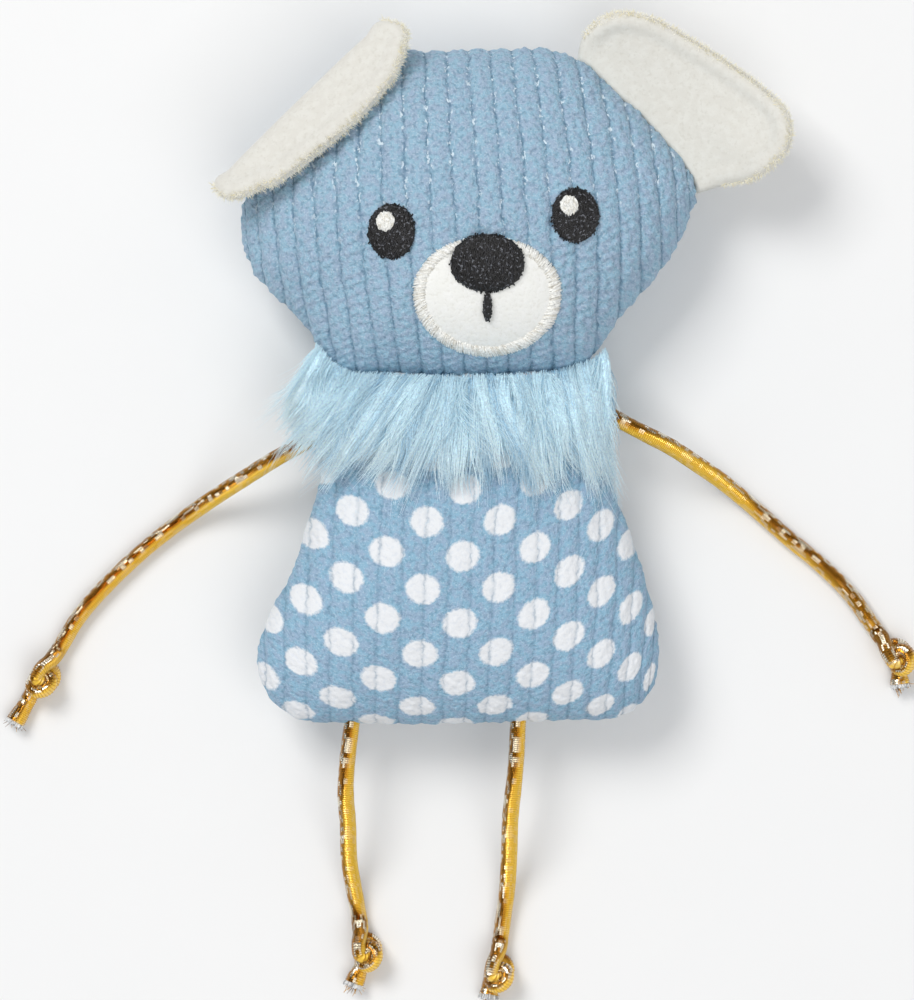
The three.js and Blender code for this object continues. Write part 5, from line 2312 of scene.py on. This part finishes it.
@dataclass
class Collar:
    """The long pile round the neck, combed into soft locks that overlap.

    Attributes:
        coats: its layers.
        places: places across the collar, as shares of its width.
        roots, tips: pixels of the root line and the hem at those places.
        fans: pixels that the hem leans to the right there.
    """

    coats: tuple[Coat, ...] = (
        Coat("front_under_coat", Side.FRONT, 4300, 36, 0.0, 0.5, 0.5, 0.0, 71, 0.4, 5.0, 1.25),
        Coat("front_middle_coat", Side.FRONT, 4700, 21, 0.0, 0.34, 0.64, 0.5, 72, 0.72, 7.0),
        Coat("front_top_coat", Side.FRONT, 4700, 14, -0.03, 0.14, 0.84, 0.9, 73, 0.84, 9.0, 0.9),
        Coat("front_wisps", Side.FRONT, 1700, 34, -0.03, 0.3, 0.8, 1.3, 75, 0.5, 15.0, 0.7),
        Coat("back_coat", Side.BACK, 3200, 40, 0.0, 0.3, 0.6, 0.0, 74, margin=0.1),
    )

    places: Shares = (0.0, 0.06, 0.13, 0.21, 0.3, 0.42, 0.52, 0.62, 0.74, 0.86, 0.94, 1.0)
    roots: tuple[Pixel, ...] = (
        (316, 344), (330, 360), (349, 371), (375, 374), (402, 376), (440, 377),
        (470, 377), (500, 376), (540, 374), (575, 367), (598, 358), (606, 350),
    )
    tips: tuple[Pixel, ...] = (
        (285, 412), (284, 432), (293, 452), (322, 474), (356, 482), (410, 490),
        (463, 494), (508, 490), (553, 494), (590, 488), (608, 474), (613, 452),
    )
    fans: Shares = (0, 0, -6, -14, -26, -14, 4, 26, 6, 6, -2, 0)
    steps: int = 8
    sides: int = 3
    radius: float = 0.075 * MM
    pile: float = 2.9 * MM
    pile_gap: float = 0.15 * MM
    root_lift: float = 0.2 * MM
    hem_drop: float = 0.35
    tufts_per_lock: int = 4
    tuft_pull: float = 0.85
    drift: float = 6.0
    air_sink: float = 2.9 * MM
    air_gap: float = 0.3 * MM
    first_guess: float = 11 * MM
    backing_reach: tuple[tuple[Side, float], ...] = ((Side.FRONT, 0.62), (Side.BACK, 0.4))
    backing_lift: float = 0.35 * MM
    backing_gap: float = 0.1 * MM
    backing_cells: tuple[int, int] = (24, 90)
    backing_tone: tuple[float, float] = (0.2, 0.3)

    def support(self, x: Array, y: Array, side: Side) -> Array:
        """Return the height that the pile lies on: the body, or air close to it.

        Args:
            x, y: the points.
            side: side of the body.

        Returns:
            The heights.
        """
        body = TORSO.height(x, y, side)
        round_body = PILE_BED.height(x, y, side)
        if side is Side.FRONT:
            return np.maximum(body, round_body - self.air_sink)
        return np.maximum(np.minimum(body, round_body), self.air_gap)

    def flow(self, share: Array, ends: Sequence[Pixel]) -> Array:
        """Return pixels of the root line or the hem at shares of the collar's width."""
        return along(self.places, ends, share)

    def comb(self, coat: Coat, share: Array, rng: np.random.Generator, side: Side) -> tuple:
        """Lay strands from the root line over the body.

        A strand follows the flow from its own row, where q is the share of the way
        from the root line to the hem. Its share of the width moves to its lock's
        middle as t^1.3 and to its tuft's as t, its lock bends it as t^1.6 and sways
        it as sin 2 pi t, and slow waves carry neighbours the same way. Each lock is
        round: its strands lie lower towards its sides.

        Args:
            coat: the layer of pile.
            share: each strand's place along the collar, from 0 to 1.
            rng: source of chance.
            side: side of the body.

        Returns:
            Paths, shaped (strands, steps, 3), and how near each strand is to the
            side of its lock, from 0 to 1.
        """
        count = len(share)
        locks = coat.table(rng)
        number = np.clip((share * coat.locks).astype(int), 0, coat.locks - 1)
        middle = (number + 0.5 + locks["shift"][number]) / coat.locks
        tuft_count = coat.locks * self.tufts_per_lock
        tuft = (np.floor(share * tuft_count) + 0.5) / tuft_count
        row = coat.root_from + (coat.root_to - coat.root_from) * rng.random(count)
        run = coat.length * locks["length"][number] * (0.55 + 0.55 * rng.random(count) ** 1.3)
        t = np.linspace(0, 1, self.steps)[None]
        q = row[:, None] + run[:, None] * t
        place = share[:, None] + (tuft - share)[:, None] * self.tuft_pull * t
        place = place + ((middle - share) * locks["pull"][number])[:, None] * t**1.3
        root = self.flow(np.clip(place, 0, 1), self.roots)
        hem = self.flow(np.clip(place, 0, 1), self.tips)
        flat = root + (hem - root) * q[..., None]
        bend = locks["bend"][number] + 1.6 * rng.normal(size=count)
        sway = locks["sway"][number][:, None] * np.sin(FULL_TURN * t)
        flat[..., 0] += bend[:, None] * t**1.6 + sway
        fan = along(self.places, self.fans, share)[:, None]
        drift = waves(share * 60 * MM, row * 8 * MM, 9 * MM, coat.seed)[:, None]
        flat[..., 0] += fan * q + self.drift * drift * t + rng.normal(size=(count, 1)) * 2.4 * t**2
        flat[..., 1] += rng.normal(size=(count, 1)) * 1.2 * (0.4 + t)
        flat[..., 0] += rng.normal(size=(count, 1)) * 1.0
        beside = np.minimum(np.abs(share - middle) * 1.6 * coat.locks, 1) ** 2
        crown = (0.5 + 0.5 * locks["lift"][number]) * (1 - 0.75 * beside)
        high = (self.pile * (0.2 + crown + 0.2 * rng.random(count)))[:, None]
        arch = np.sin(math.pi * np.clip(0.22 + 0.7 * t, 0, 1) ** 0.75)
        lift = self.root_lift + coat.lift * MM + high * arch
        lift = lift * (1 - self.hem_drop * ease((q - 0.8) * 4))
        return self.drape(flat, lift, side, self.pile_gap), beside

    def drape(
        self, flat: Array, lift: Array | float, side: Side, lowest: float
    ) -> Array:
        """Lay pixels on the body, in two rounds because their height moves them in the view.

        Args:
            flat: pixels, in the last axis.
            lift: their heights over the body.
            side: side of the body.
            lowest: least height over the floor.

        Returns:
            The points that show at the pixels.
        """
        level = np.full(flat.shape[:2], SEAM_LEVEL + self.first_guess * side.value)
        for _ in range(2):
            spot = PICTURE.place(flat, level)
            level = self.support(spot[..., 0], spot[..., 1], side) + side.value * lift
        return np.concatenate([spot, np.maximum(level, lowest)[..., None]], axis=-1)

    def backing(self, side: Side, reach: float, material: Material) -> None:
        """Build the cloth that the pile grows from.

        Args:
            side: side of the body.
            reach: share of the way to the hem that it covers.
            material: its finish.
        """
        rows, columns = self.backing_cells
        share = np.linspace(0.02, 0.98, columns)
        down = np.linspace(0, reach, rows)
        root, tip = self.flow(share, self.roots), self.flow(share, self.tips)
        flat = root + (tip - root) * down[:, None, None]
        points = self.drape(flat, self.backing_lift, side, self.backing_gap)
        faces = grid_faces(*self.backing_cells, flip=side is Side.BACK)
        layer = np.broadcast_to(self.backing_tone, (*self.backing_cells, 2))
        name = f"collar_{side.name.lower()}_backing"
        piece = add_piece(name, "torso", points, faces, material, {"strand": layer})

    def build(self) -> None:
        """Build the front coats, the back coat and the cloth that they grow from."""
        fur = strand_material(COLLAR_FUR)
        for coat in self.coats:
            self.add_coat(coat, fur)
        for side, reach in self.backing_reach:
            self.backing(side, reach, fur)

    def add_coat(self, coat: Coat, material: Material) -> None:
        """Build one coat of pile.

        Args:
            coat: the layer of pile.
            material: its finish.
        """
        rng = np.random.default_rng(coat.seed)
        share = coat.margin + (1 - 2 * coat.margin) * rng.random(coat.strands)
        paths, beside = self.comb(coat, share, rng, coat.side)
        taper = 1 - 0.75 * np.linspace(0, 1, self.steps) ** 1.5
        radii = coat.thick * self.radius * (0.7 + 0.6 * rng.random((len(share), 1))) * taper
        number = (share * coat.locks).astype(int)
        tuft = np.floor(share * coat.locks * self.tufts_per_lock)
        tone = 0.18 * ((number * 0.618) % 1) + 0.34 * ((tuft * 0.7549) % 1)
        # Painted shade: strands near the sides of their locks lean to the darker odd colour.
        tone = tone + 0.2 * rng.random(len(share)) + 0.36 * beside
        tubes = make_tubes(paths, radii, self.sides, tone)
        piece = tubes.add(f"collar_{coat.name}", "torso", material)
        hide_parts(f"collar_{coat.side.name.lower()}_fur")


PICTURE = Picture()


def main() -> None:
    """Build the whole toy."""
    logging.basicConfig(level=logging.INFO, format="%(name)s %(message)s")
    PICTURE.add_camera()
    finishes = gold_cord(GoldFinish()), strand_material(CORD_CORE), strand_material(GOLD_YARN)
    for limb in LIMBS:
        limb.build(*finishes)
    Studio().build()
    HEAD.build()
    TORSO.build()
    Face().build()
    ear_plush = plush(EAR_PLUSH)
    ear_pile = strand_material(EAR_PILE)
    for ear in (LEFT_EAR, RIGHT_EAR):
        ear.build(ear_plush, ear_pile)
    Collar().build()
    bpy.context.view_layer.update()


if __name__ == "__main__":
    main()
